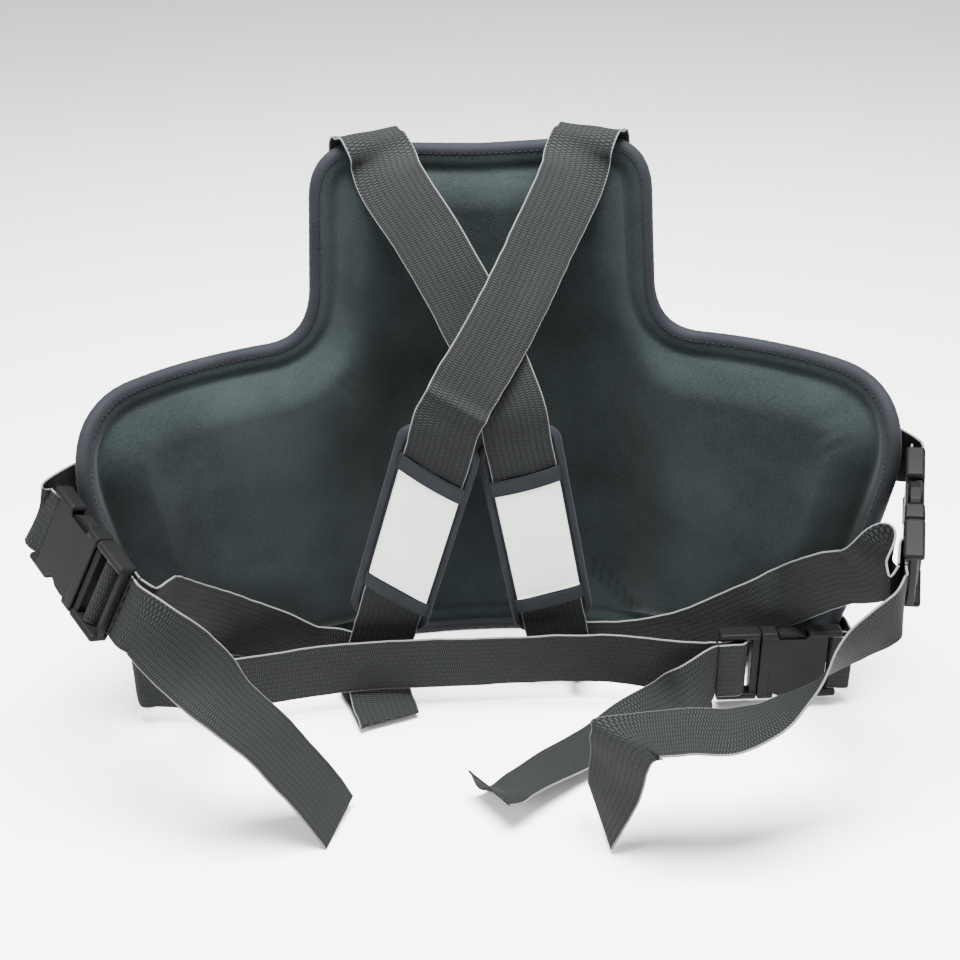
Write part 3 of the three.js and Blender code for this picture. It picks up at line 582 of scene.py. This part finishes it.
def spline(points, counts):
    """A centripetal Catmull-Rom curve through points, with counts[i] samples on stretch i."""
    points = np.asarray(points, float)
    padded = np.concatenate([[2 * points[0] - points[1]], points, [2 * points[-1] - points[-2]]])
    made = []
    for i, count in enumerate(counts):
        p0, p1, p2, p3 = padded[i:i + 4]
        step = [np.sqrt(np.linalg.norm(b - a)) for a, b in ((p0, p1), (p1, p2), (p2, p3))]
        middle = step[1] if step[1] > 1e-4 else 1.0
        before = step[0] if step[0] > 1e-4 else middle
        after = step[2] if step[2] > 1e-4 else middle
        m1 = ((p1 - p0) / before - (p2 - p0) / (before + middle) + (p2 - p1) / middle) * middle
        m2 = ((p2 - p1) / middle - (p3 - p1) / (middle + after) + (p3 - p2) / after) * middle
        t = (np.arange(count) / count)[:, None]
        second = 3 * (p2 - p1) - 2 * m1 - m2
        third = 2 * (p1 - p2) + m1 + m2
        made.append(p1 + m1 * t + second * t ** 2 + third * t ** 3)
    return np.concatenate([*made, points[-1:]])


class Ribbon:
    """A band of webbing through stations of (point, direction of its width).

    The width is turned square to the run, or kept slanting, as at a crease, where a third value is 1.
    """

    def __init__(self, stations):
        points = np.array([station[0] for station in stations], float)
        widths = np.array([station[1] for station in stations], float)
        slants = np.array([station[2] if len(station) > 2 else 0.0 for station in stations])
        stretches = np.linalg.norm(np.diff(points, axis=0), axis=1)
        counts = [max(3, int(round(stretch / WEBBING_STEP))) for stretch in stretches]
        self.centre = spline(points, counts)
        across = spline(widths, counts)
        tangent = unit(np.gradient(self.centre, axis=0))
        ends = np.concatenate([[0], np.cumsum(counts)])
        square = 1 - np.interp(np.arange(len(self.centre)), ends, slants)[:, None]
        across = across - square * (across * tangent).sum(1, keepdims=True) * tangent
        across = unit(across)
        self.normal = unit(np.cross(tangent, across))
        self.side = across / np.linalg.norm(np.cross(tangent, across), axis=-1, keepdims=True)
        gaps = np.linalg.norm(np.diff(self.centre, axis=0), axis=1)
        self.walked = np.concatenate([[0], np.cumsum(gaps)])
        self.length = self.walked[-1]

    def sections(self, ruffle=0.5, seed=1, ridges=()):
        """Closed sections round the band, its edges rounded and its faces slightly uneven.

        A ridge is (distance along, slant, width, height) of a soft fold across the band.
        """
        half = WEBBING_WIDTH / 2
        one_side = [0.2, 0.4, 0.6, 0.8, 0.94, 0.985, 1]
        columns = np.array([*[-share for share in one_side[::-1]], 0, *one_side])
        rounded = [0.45, 0.95, 1.1]
        thick = WEBBING / 2 * np.array([*rounded, *[1] * (len(columns) - 6), *rounded[::-1]])
        u = np.concatenate([columns, columns[::-1]]) * half
        v = np.concatenate([thick, -thick[::-1]])
        walked = self.walked[:, None]
        held = 18
        hold = smooth(walked, 0, held) * (1 - smooth(walked, self.length - held, self.length))
        lift = ruffle * hold * ripple(walked + 0 * u[None], 1.6 * u[None] + 0 * walked, 55, seed)
        which = np.sign(u)[None]
        edge = 0.35 * hold * which * ripple(walked + 0 * u[None], 400.0 * which, 24, seed + 7)
        for at, slant, spread, height in ridges:
            lift = lift + height * np.exp(-((walked - at - slant * u[None]) / spread) ** 2)
        points = self.centre[:, None] + self.side[:, None] * (u[None] + edge)[..., None]
        points = points + self.normal[:, None] * (v[None] + lift)[..., None]
        uv = np.stack(np.broadcast_arrays(u[None] * MM, walked * MM), -1)
        return points, uv.reshape(-1, 2)


def add_webbing(name, stations, body="shell", held="stretched", ruffle=0.5, seed=1, ridges=()):
    ribbon = Ribbon(stations)
    points, uv = ribbon.sections(ruffle, seed, ridges)
    obj = sweep(name, points, WEBBING_CLOTH, body, [name], uv=uv)
    print(f"{name}: {ribbon.length:.0f} mm")
    return obj


def add_joining_webbing(name, side, start, end, stations, held="hung", **settings):
    """Webbing through the stations, attached to no body, with its placement baked into its points; side,
    start and end are not used.
    """
    obj = add_webbing(name, stations, body=None, held=held, **settings)
    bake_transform(obj)


def between(top, bottom, count, across):
    return [(tuple(p), across) for p in np.linspace(top, bottom, count + 1)]


def cover_level(s, z):
    edge = edge_distance(np.array([s], float), np.array([z], float))[0]
    inner = belly_bulge(s, z) + HALF_EDGE - COVER - GAP - FOAM_AT_EDGE
    foam = inner + FOAM_AT_EDGE + (FOAM_IN_MIDDLE - FOAM_AT_EDGE) * smooth(edge, 0, 80)
    return float(foam + GAP + COVER)


def over_the_top(s):
    """The stitched end on the outer cover and the slanting fold over the top edge.

    Each row is the height above the body, the offset, the lean and the direction of the width.
    """
    towards = -np.sign(s)
    rows = [(z - BODY_HEIGHT, cover_level(s, z) + 3.4, -4.5, (1, 0, 0)) for z in (372, 388, 404, 418)]
    rows += [
        (-6, 8.8, -4, (1, 0, 0)),
        (2.5, 7.2, -2.5, (0.97, 0.22, 0)),
        (6.4, 0, 0, (0.86, 0.5, 0)),
        (2.5, -7.4, 3.4, (0.85, 0.46, 0.14)),
        (-8, -12, 8, (0.86, 0.32, 0.32)),
    ]
    made = []
    for above, offset, lean, (x, y, z) in rows:
        at = s + towards * lean
        cos, sin = math.cos(heading(at)), math.sin(heading(at))
        across = (x * cos + towards * y * sin, towards * y * cos - x * sin, towards * z)
        made.append((tuple(bend(at, BODY_HEIGHT + above, offset)), across))
    return made


PAD_RUNS = {
    "right": {"top": (16, -107, 262), "bottom": (54, -93, 50), "across": (0.98, 0, 0.176)},
    "left": {"top": (-30, -119, 262), "bottom": (-91, -96, 50), "across": (0.96, 0, -0.276)},
}
BUCKLE_PLACES = {
    "left": {"end": (-315, -160, 212), "pull": (0.577, -0.773, -0.258), "across": (-0.45, -0.04, -0.89)},
    "right": {"end": (309, -142, 217), "pull": (-0.247, -0.876, -0.412), "across": (-0.2, -0.4, 0.9)},
    "waist": {"end": (275, -127, 42), "pull": (-1, 0, 0), "across": (0, 0, -1)},
}


def buckle_axes(side):
    place = BUCKLE_PLACES[side]
    x = unit(place["pull"])
    y = np.array(place["across"], float)
    y = unit(y - (y @ x) * x)
    return x, y, np.cross(x, y), np.array(place["end"], float)


def strap_across(side):
    """The direction of a strap's width at its buckle, which the right one reaches turned over."""
    turn = -1 if side == "right" else 1
    return [turn * v for v in BUCKLE_PLACES[side]["across"]]


def local(side, x, z):
    """A point of a buckle's own frame: x along its pull, z towards its strap side."""
    along, _, normal, end = buckle_axes(side)
    return tuple(end + along * x + normal * z)


def continued(side, distance):
    run = PAD_RUNS[side]
    down = unit(np.subtract(run["bottom"], run["top"]))
    return tuple(np.array(run["bottom"]) + down * distance), run["across"]


def make_shoulder_straps():
    right, left = PAD_RUNS["right"], PAD_RUNS["left"]
    add_webbing("shoulder_strap_to_right", [
        *over_the_top(-82),
        ((-67, -28, 414), (0.87, 0.12, 0.46)),
        ((-38, -55, 372), (0.86, 0, 0.5)),
        ((-7, -82, 317), (0.88, 0, 0.45)),
        *between(right["top"], right["bottom"], 8, right["across"]),
    ], seed=3)
    add_webbing("shoulder_strap_to_left", [
        *over_the_top(82),
        ((67, -28, 413), (0.87, -0.12, -0.46)),
        ((42, -58, 372), (0.86, 0, -0.5)),
        ((10, -94, 322), (0.84, -0.05, -0.53)),
        *between(left["top"], left["bottom"], 8, left["across"]),
    ], seed=5, ridges=((309, 0.04, 5, 5.0), (317, 0.04, 3, 1.6)))


def make_lower_straps():
    right_across = strap_across("right")
    left_across = strap_across("left")
    add_joining_webbing("right_strap_lower", "right", (205, -98, 70), local("right", 104, 12), [
        continued("right", 0.8),
        continued("right", 9),
        ((64, -86, 33), (0.75, -0.1, -0.5)),
        ((88, -83, 31), (0.2, -0.1, -1)),
        ((125, -85, 33), (0.1, -0.1, -1)),
        ((168, -90, 47), (0.25, -0.1, -0.95)),
        ((205, -98, 70), (0.4, -0.15, -0.9)),
        ((237, -113, 97), (0.5, -0.2, -0.84)),
        ((254, -150, 133), (0.4, 0.1, -0.9)),
        ((267, -176, 152), (0.3, 0.15, -0.93)),
        (local("right", 76, 14), right_across),
        (local("right", 98, 18), right_across),
        (local("right", 109, 15), right_across),
        (local("right", 100, 10), right_across),
    ], ruffle=0.9, seed=8)
    add_joining_webbing("left_strap_lower", "left", (-190, -100, 80), local("left", 104, 12), [
        continued("left", 0.8),
        continued("left", 9),
        ((-93, -103, 22), (0.96, 0.1, 0)),
        ((-90, -117, 12), (0.94, 0.25, 0)),
        ((-86, -130, 9.4), (0.93, 0.35, 0)),
        ((-84, -136, 6.6), (0.93, 0.35, 0)),
        ((-86, -130, 3.8), (0.93, 0.35, 0)),
        ((-92, -112, 3.4), (0.93, 0.33, 0)),
        ((-100, -92, 4.8), (0.9, 0.25, 0)),
        ((-110, -77, 17), (0.7, 0.1, -0.35)),
        ((-128, -76, 29), (0.35, 0, -0.9)),
        ((-150, -80, 36), (0.05, 0, -1)),
        ((-178, -88, 58), (-0.2, 0, -0.95)),
        ((-205, -105, 82), (-0.35, -0.1, -0.9)),
        ((-224, -135, 111), (-0.4, -0.1, -0.9)),
        ((-236, -180, 148), (-0.4, 0, -0.9)),
        (local("left", 104, 27), left_across),
        (local("left", 109, 16), left_across),
        (local("left", 100, 10), left_across),
    ], ruffle=0.7, seed=9)


def make_tails():
    right_across = strap_across("right")
    left_across = strap_across("left")
    add_joining_webbing("right_strap_tail", "right", (170, -292, 112), local("right", 104, 5), [
        (local("right", 99.8, 4.9), right_across),
        (local("right", 110, 5.2), right_across),
        ((270, -250, 167), (0.3, 0.3, -0.88)),
        ((256, -256, 159), (0.45, 0.35, -0.8)),
        ((239, -258, 146), (0.45, 0.5, -0.7)),
        ((220, -264, 131), (0.3, 0.75, -0.58)),
        ((197, -276, 119), (0.15, 0.93, -0.35)),
        ((174, -286, 110), (0.15, 1, -0.12)),
        ((152, -288, 104), (0.12, 1, 0)),
        ((125, -286, 103), (0.05, 1, 0)),
        ((100, -288, 103), (-0.2, 1, -0.03), 0.3),
        ((81, -290, 101), (-0.7, 0.7, 0), 1),
        ((77, -287, 88), (-0.68, 0.73, 0.02), 1),
        ((76, -279, 61), (-0.6, 0.8, 0.2), 0.3),
        ((68, -269, 17), (-0.2, 0.8, 0.6), 0.6),
    ], ruffle=0.4, seed=12)
    add_joining_webbing("left_strap_tail", "left", (-140, -251, 45), local("left", 104, 5), [
        (local("left", 99.8, 4.9), left_across),
        (local("left", 109, 5.2), left_across),
        (local("left", 122, 12), (-0.5, 0, -0.85)),
        ((-208, -247, 140), (-0.52, -0.5, -0.65)),
        ((-187, -250, 112), (-0.52, -0.84, -0.05)),
        ((-167, -251, 88), (-0.52, -0.85, 0.12)),
        ((-148, -251, 58), (-0.52, -0.84, 0.15)),
        ((-131, -251, 30), (-0.5, -0.85, 0.1)),
        ((-119, -251, 5), (-0.44, -0.9, 0)),
    ], ruffle=0.4, seed=14)
    add_joining_webbing("waist_strap_tail", "waist", (60, -180, 6), local("waist", 104, 8), [
        (local("waist", 99.8, 9.8), strap_across("waist")),
        ((166, -146, 42), (0.1, -0.15, -1)),
        ((152, -158, 36), (0.3, -0.4, -0.8)),
        ((136, -158, 24), (0.3, -0.7, -0.5)),
        ((112, -156, 13), (0.4, -0.9, -0.1)),
        ((82, -174, 8), (0.6, -0.78, 0.16)),
        ((47, -199, 9), (0.6, -0.76, 0.24)),
        ((21, -221, 11.5), (0.56, -0.74, 0.34)),
        ((2, -238, 14.5), (0.5, -0.74, 0.42)),
        ((-10, -246, 27), (0.42, -0.86, 0.15)),
    ], ruffle=0.3, seed=15)


WAIST_HEIGHT = 42


def make_waist_strap():
    z = WAIST_HEIGHT
    sewn = [bend(-s, z, cover_level(-s, z) + 6) for s in (250, 268, 284)]
    turn = [bend(-s, z, offset) for s, offset in ((303, 12), (316, 8), (321, 0), (316, -9))]
    across = strap_across("waist")
    add_joining_webbing("waist_strap", "waist", (20, -115, 44), local("waist", 104, 5), [
        *[(tuple(p), (0, 0, -1)) for p in sewn + turn],
        ((-222, -128, 41), (0, 0.05, -1)),
        ((-111, -116, 44.5), (0, 0.08, -1)),
        ((-10, -115, 44.5), (0, 0.1, -1)),
        ((87, -118, 45.5), (0, 0.1, -1)),
        ((150, -130, 43), (0, 0.03, -1)),
        (local("waist", 108, 4.9), across),
        (local("waist", 100, 4.9), across),
    ], held="stretched", seed=17)


def make_loops():
    """Each loop runs from its sewn end on the cover round the female half's bar and back."""
    sides = [
        ("left", -1, (296, 312, 326), 218, (-0.45, -0.04, -0.89)),
        ("right", 1, (286, 300, 314), 222, (0.2, 0.4, -0.9)),
    ]
    for side, sign, arcs, z, up in sides:
        sewn = [bend(sign * s, z, cover_level(sign * s, z) + 4) for s in arcs]
        turn = [(-9, -4.2), (2.2, -3.4), (6.4, -2.8), (7.9, 0), (6.4, 2.8), (2.2, 3.4), (-7, 3)]
        stations = [(tuple(p), (0, 0, -1)) for p in sewn]
        stations += [(local(side, x, depth), up) for x, depth in turn]
        add_webbing(f"{side}_buckle_loop", stations, ruffle=0.0)
    z = WAIST_HEIGHT
    sewn = [bend(s, z, cover_level(s, z) + 4.5) for s in (262, 276, 290)]
    sewn += [bend(s, z, offset) for s, offset in ((305, 12), (317, 7))]
    turn = [(-9, 4.5), (2.2, 3.4), (6.4, 2.8), (7.9, 0), (6.4, -2.8), (2.2, -3.4), (-6, -3)]
    route = [tuple(p) for p in sewn] + [local("waist", x, depth) for x, depth in turn]
    add_webbing("waist_buckle_loop", [(p, (0, 0, -1)) for p in route], ruffle=0.0)


def make_bar_turns():
    """The webbing's turn round each male half's bar, in the buckle's own frame."""
    route = [
        (98.5, 4.9), (90, 4.9), (86.2, 2.6), (84.6, -1), (80.2, -3.9),
        (75.8, -1), (75.2, 4), (79, 8.6), (88, 9.6), (98.5, 9.8),
    ]
    for side in BUCKLE_PLACES:
        across = tuple(buckle_axes(side)[1])
        stations = [(local(side, x, z), across) for x, z in route]
        add_webbing(f"{side}_strap_bar_turn", stations, body=f"{side}_male_half", ruffle=0.0)


# ---------------------------------------------------------------- shoulder pads

# A pad's depths are from the webbing's middle: its cushion begins at near, and the sleeve, the pale panel
# and the hems at the panel's ends lie on the wearer's side.
PAD = {"width": 65.0, "length": 184.0, "thickness": 6.0, "roll": 3.0, "corner": 15.0, "near": 1.1}
PANEL_HALF_LENGTH = 49.5
PANEL_HALF_WIDTH = 25.2
HEM_LENGTH = 12.6
HEM_HALF_WIDTH = 27.4
HEM_CURVE = 1.6
PADS = {
    "left": {"shift": -3.0, "end_slant": 0.16, "panel_slant": 0.38, "panel_at": 0.0},
    "right": {"shift": 5.0, "end_slant": -0.08, "panel_slant": -0.08, "panel_at": 4.0},
}


def pad_placer(side):
    """A function from the pad's own frame (across, down, towards the shell) to the protector's."""
    run = PAD_RUNS[side]
    down = unit(np.subtract(run["bottom"], run["top"]))
    across = np.array(run["across"], float)
    across = unit(across - (across @ down) * down)
    inwards = np.cross(across, down)
    centre = (np.array(run["top"], float) + run["bottom"]) / 2 + down * PADS[side]["shift"]
    return lambda p: centre + p[..., 0:1] * across + p[..., 1:2] * down + p[..., 2:3] * inwards


def rounded_outline(half_x, half_y, corner, slant, count):
    """A rounded rectangle, its ends slanting down to the right by slant."""
    corners = []
    for x, y, start in ((1, 1, 0), (-1, 1, 90), (-1, -1, 180), (1, -1, 270)):
        for k in range(9):
            angle = math.radians(start + k * 90 / 8)
            corners.append((
                x * (half_x - corner) + corner * math.cos(angle),
                y * (half_y - corner) + corner * math.sin(angle),
            ))
    line = resample(np.array(corners), count, closed=True)
    line[:, 1] += slant * line[:, 0]
    return line


def pillow(name, line, levels, place):
    """A closed pad inside a flat line; levels gives its two depths at a share 0..1 of the way out."""
    rings = 14
    share = np.sin(np.linspace(0.05, math.pi / 2, rings))
    middle = line.mean(0)
    flat = middle + (line - middle)[None] * share[:, None, None]
    skins = []
    for depth in levels(share):
        skin = np.concatenate([flat, np.broadcast_to(depth[:, None, None], (*flat.shape[:2], 1))], -1)
        skins.append(skin)
    sections = np.concatenate([skins[0], skins[1][::-1]])
    return sweep(name, place(sections), NEOPRENE, name, [name])


STITCH_CLEARANCE = 1.5


def pad_binding(name, side, place):
    """The roll round a pad's edge, and the stitches along its two long sides, clear of the webbing."""
    settings = PADS[side]
    reach = PAD["roll"] + 0.4
    line = rounded_outline(PAD["width"] / 2 - reach, PAD["length"] / 2 - reach, PAD["corner"] - reach,
                           settings["end_slant"], 260)
    out = -inward(line)
    middle = PAD["near"] + PAD["thickness"] / 2
    profile = [(-2.6, -3.9), (-1.2, -4.3)]
    for k in range(9):
        angle = math.radians(-80 + 20 * k)
        profile.append((math.cos(angle) * 3.4, math.sin(angle) * 4.0))
    profile += [(-1.2, 4.3), (-2.6, 3.9), (-2.8, 2.5), (-2.8, -2.5)]
    profile = np.array(profile)
    walked = np.arange(len(line)) * 1.8
    pucker = 1 + 0.03 * ripple(walked, 0 * walked, 22, 31)
    flat = line[:, None] + out[:, None] * profile[None, :, 0:1] * pucker[:, None, None]
    depth = middle + profile[None, :, 1:2] * pucker[:, None, None]
    sections = place(np.concatenate([flat, depth], -1))
    sweep(name, sections, NEOPRENE, f"{side}_shoulder_pad", [name], closed=True)
    seam = line - out * SEAM_INSET
    for which, sign in (("left", -1), ("right", 1)):
        run = seam[sign * seam[:, 0] > WEBBING_WIDTH / 2 + STITCH_CLEARANCE]
        run = run[np.argsort(run[:, 1])]
        path = place(np.concatenate([run, np.full((len(run), 1), middle - 4.2)], -1))
        stitch_line(f"{name}_stitches_{which}", path, 3.4, 0.34, f"{side}_shoulder_pad")


def band(name, side, place, ends, half_width, depths, material, curve=0.0, rise=0.0):
    """A flat piece across the pad, with slanting, slightly curved ends and rounded edges."""
    slant = PADS[side]["panel_slant"]
    across = np.linspace(-1, 1, 25)
    down = np.linspace(0, 1, 25)
    tuck = 1 - np.clip((abs(across) - 0.9) / 0.1, 0, 1) ** 2
    x = across * half_width
    middle = slant * x + curve * (1 - across ** 2)
    edge = 1 - np.clip((abs(down * 2 - 1) - 0.93) / 0.07, 0, 1) ** 2
    y = ends[0] + (ends[1] - ends[0]) * down[:, None] + middle[None]
    swell = rise * np.sqrt(np.clip(4 * down * (1 - down), 0, 1))
    near = depths[0] - swell[:, None] * (1 - across ** 2)[None]
    full = np.minimum(tuck[None], edge[:, None])
    near = depths[1] - 0.3 + (near - depths[1] + 0.3) * (0.35 + 0.65 * full)
    front = np.stack(np.broadcast_arrays(x[None], y, near), -1)
    back = np.stack(np.broadcast_arrays(x[None], y, depths[1]), -1)
    points = place(np.concatenate([front.reshape(-1, 3), back.reshape(-1, 3)]))
    rows, count = front.shape[:2]
    half = rows * count
    faces = quads(rows, count) + [face[::-1] for face in quads(rows, count, start=half)]
    rim = [r * count for r in range(rows)] + [(rows - 1) * count + c for c in range(1, count)]
    rim += [r * count + count - 1 for r in range(rows - 2, -1, -1)] + list(range(count - 2, 0, -1))
    faces += [[b, a, a + half, b + half] for a, b in zip(rim, rim[1:] + rim[:1])]
    return add_mesh(name, points, outward(points, faces), material, f"{side}_shoulder_pad", [name])


def make_shoulder_pad(side):
    place = pad_placer(side)
    body = f"{side}_shoulder_pad"
    settings = PADS[side]
    under_roll = 2.6
    line = rounded_outline(PAD["width"] / 2 - under_roll, PAD["length"] / 2 - under_roll,
                           PAD["corner"] - under_roll, settings["end_slant"], 200)

    def cushion_levels(share):
        crown = np.sqrt(np.clip(1 - share ** 6, 0, 1))
        drawn_in = 1.6 * (1 - crown)
        return PAD["near"] + drawn_in, PAD["near"] + PAD["thickness"] + 1.5 * crown - drawn_in

    pillow(body, line, cushion_levels, place)
    pad_binding(f"{body}_binding", side, place)
    at = settings["panel_at"]
    half = PANEL_HALF_LENGTH
    sleeve_half = half + 12.4
    band(f"{body}_sleeve", side, place, (at - sleeve_half, at + sleeve_half), 27.0, (-2.6, 1.0),
         NEOPRENE)
    band(f"{body}_panel", side, place, (at - half - 1, at + half + 1), PANEL_HALF_WIDTH, (-3.5, -2.6),
         PANEL_CLOTH, rise=1.2)
    for which, sign in (("upper", -1), ("lower", 1)):
        ends = sorted((at + sign * half, at + sign * (half + HEM_LENGTH)))
        band(f"{body}_hem_{which}", side, place, ends, HEM_HALF_WIDTH, (-4.6, -2.4), NEOPRENE,
             curve=HEM_CURVE, rise=0.5)
        x = np.linspace(-25.5, 25.5, 40)
        curve = HEM_CURVE * (1 - (x / HEM_HALF_WIDTH) ** 2)
        y = at + sign * (half + 2.6) + settings["panel_slant"] * x + curve
        path = place(np.stack([x, y, np.full_like(x, -4.9)], -1))
        stitch_line(f"{body}_hem_{which}_stitches", path, 3.2, 0.32, body)


# ---------------------------------------------------------------- buckles

# In a buckle's own frame x runs along its pull, from the female half's bar to the male half's end.
HALF_WIDTH = 31.5
RAIL_DEPTH = 7
MOUTH = 64
MALE_END = 97
BEVEL_STEPS = 3


def rounded_solid(parts):
    """One mesh of rounded parts, each a box (low, high, radius) or (outline, low z, high z, radius)."""
    joined = bmesh.new()
    for part in parts:
        piece = bmesh.new()
        if len(part) == 3:
            low, high, radius = (np.array(v, float) for v in part)
            (x0, y0, bottom), (x1, y1, top) = low, high
            outline_xy = [(x0, y0), (x1, y0), (x1, y1), (x0, y1)]
        else:
            outline_xy, bottom, top, radius = part
        base = [piece.verts.new((x, y, bottom)) for x, y in outline_xy]
        face = piece.faces.new(base)
        lifted = bmesh.ops.extrude_face_region(piece, geom=[face])["geom"]
        for vertex in (v for v in lifted if isinstance(v, bmesh.types.BMVert)):
            vertex.co.z = top
        bmesh.ops.recalc_face_normals(piece, faces=piece.faces)
        bmesh.ops.bevel(piece, geom=list(piece.edges), offset=float(radius), segments=BEVEL_STEPS,
                        profile=0.5, affect="EDGES", clamp_overlap=True)
        scratch = bpy.data.meshes.new("scratch")
        piece.to_mesh(scratch)
        joined.from_mesh(scratch)
        bpy.data.meshes.remove(scratch)
        piece.free()
    return joined


def add_moulding(name, parts, side, body):
    x, y, z, end = buckle_axes(side)
    solid = rounded_solid(parts)
    for vertex in solid.verts:
        place = end + x * vertex.co.x + y * vertex.co.y + z * vertex.co.z
        vertex.co = Vector(place) * MM
    mesh = bpy.data.meshes.new(name)
    solid.to_mesh(mesh)
    solid.free()
    obj = show(name, mesh, PLASTIC, body, [name])
    smoother = obj.modifiers.new("crisp", "WEIGHTED_NORMAL")
    smoother.keep_sharp = False


def both_sides(low, high, radius):
    """The same box on the +Y and -Y sides of a buckle."""
    mirrored_low = (low[0], -high[1], low[2])
    mirrored_high = (high[0], -low[1], high[2])
    return [(low, high, radius), (mirrored_low, mirrored_high, radius)]


def female_parts():
    """Strap bar, two end blocks, two plates notched for the prongs, and the collar round the mouth."""
    parts = [((0, -28, -2), (4.4, 28, 2), 1.3)]
    parts += both_sides((0, 25.6, -6.2), (26.5, HALF_WIDTH, RAIL_DEPTH), 2.4)
    parts += both_sides((51, 25.2, -6.6), (MOUTH, HALF_WIDTH, RAIL_DEPTH), 2.0)
    parts += [((56, -30, 4.6), (MOUTH, 30, 6.9), 0.9), ((56, -30, -6.9), (MOUTH, 30, -4.6), 0.9)]
    notched = [(11, 29), (25.5, 29), (29, 24.6), (49, 24.6), (52, 29), (63.5, 29)]
    plate = [(x, -y) for x, y in notched] + notched[::-1]
    for low, high in ((4.7, 6.3), (-6.3, -4.7)):
        parts.append((plate, low, high, 0.5))
    parts += both_sides((10.5, 10, -5), (15, 28, 5), 0.8)
    return parts


def male_parts():
    """Base, two rounded rails, end crossbar, the bar the webbing turns on, and the guide tongue."""
    parts = [((64.4, -31.2, -4.8), (70.6, 31.2, 4.8), 0.9)]
    parts += both_sides((64.5, 25.9, -RAIL_DEPTH), (MALE_END, HALF_WIDTH, RAIL_DEPTH), 2.2)
    parts.append(((92.4, -29, -2.8), (96.9, 29, 2.8), 1.0))
    parts.append(((78.6, -29, -1.5), (81.9, 29, 1.5), 0.9))
    parts.append(((40, -6, -2.8), (65.5, 6, 2.8), 1.0))
    return parts


def prong_parts(side):
    """A springy arm whose arrow head fills the female half's side notch."""
    shape = [
        (63.4, 12.2), (63.4, 17.3), (50, 21), (50, 29.2), (46.5, 30.9),
        (36.5, 30.4), (27.6, 25.4), (27.2, 22.5), (30, 21), (44, 18.7),
    ]
    if side < 0:
        shape = [(x, -y) for x, y in shape][::-1]
    return [(shape, -3.6, 3.6, 0.7)]


def make_buckles():
    for side, place in BUCKLE_PLACES.items():
        add_moulding(f"{side}_buckle_female", female_parts(), side, "shell")
        add_moulding(f"{side}_buckle_male", male_parts(), side, f"{side}_male_half")
        upper = 1 if place["across"][2] > 0 else -1
        for which, sign in (("upper", upper), ("lower", -upper)):
            add_moulding(f"{side}_buckle_prong_{which}", prong_parts(sign), side, f"{side}_prong_{which}")


# ---------------------------------------------------------------- look

FLOOR_SIZE = 8


def make_floor():
    bpy.ops.mesh.primitive_plane_add(size=FLOOR_SIZE, location=(0, 0, 0))
    floor = bpy.context.object
    floor.name = "floor"
    floor.data.materials.append(FLOOR)


# Each light's name, place, aim, size and power. The main one hangs above and a little towards the wearer.
LIGHTS = [
    ("overhead", (0.05, -0.35, 1.9), (0, -0.05, 0.2), (1.1, 0.8), 280),
    ("from_left", (-1.7, -1.2, 1.2), (0, -0.1, 0.2), (1.0, 1.4), 46),
    ("from_right", (1.6, -1.5, 1.1), (0, -0.1, 0.2), (1.0, 1.4), 12),
]
SKY_STRENGTH = 0.95


def add_light(name, place, target, size, power):
    light = bpy.data.lights.new(name, "AREA")
    light.shape = "RECTANGLE"
    light.size, light.size_y = size
    light.energy = power
    obj = bpy.data.objects.new(name, light)
    bpy.context.collection.objects.link(obj)
    obj.location = place
    obj.rotation_euler = (Vector(target) - Vector(place)).to_track_quat("-Z", "Y").to_euler()


def make_lights():
    world = bpy.data.worlds.new("studio")
    bpy.context.scene.world = world
    world.use_nodes = True
    background = world.node_tree.nodes["Background"]
    background.inputs["Color"].default_value = (1, 1, 1, 1)
    background.inputs["Strength"].default_value = SKY_STRENGTH
    for light in LIGHTS:
        add_light(*light)


# The camera's direction and tilt in degrees, its distance and aim in metres, and its lens in millimetres.
CAMERA = {
    "azimuth": -2,
    "elevation": 28,
    "roll": -1,
    "distance": 1.15,
    "target": (-0.004, 0, 0.148),
    "sensor": 36,
    "lens": 51.375,
}


def make_camera():
    azimuth, elevation, roll = (math.radians(CAMERA[key]) for key in ("azimuth", "elevation", "roll"))
    target = Vector(CAMERA["target"])
    back = Vector((
        math.sin(azimuth) * math.cos(elevation),
        -math.cos(azimuth) * math.cos(elevation),
        math.sin(elevation),
    ))
    right = (-back).cross(Vector((0, 0, 1))).normalized()
    up = back.cross(right)
    tilted = math.cos(roll) * right + math.sin(roll) * up
    upright = back.cross(tilted)
    camera = bpy.data.cameras.new("camera")
    camera.sensor_width = CAMERA["sensor"]
    camera.lens = CAMERA["lens"]
    obj = bpy.data.objects.new("camera", camera)
    bpy.context.collection.objects.link(obj)
    turn = Matrix((tilted, upright, back)).transposed().to_4x4()
    obj.matrix_world = Matrix.Translation(target + back * CAMERA["distance"]) @ turn
    bpy.context.scene.camera = obj


make_layers()
make_binding()
make_shoulder_straps()
make_lower_straps()
make_tails()
make_waist_strap()
make_loops()
make_bar_turns()
for pad_side in PADS:
    make_shoulder_pad(pad_side)
make_buckles()
make_floor()
make_lights()
make_camera()
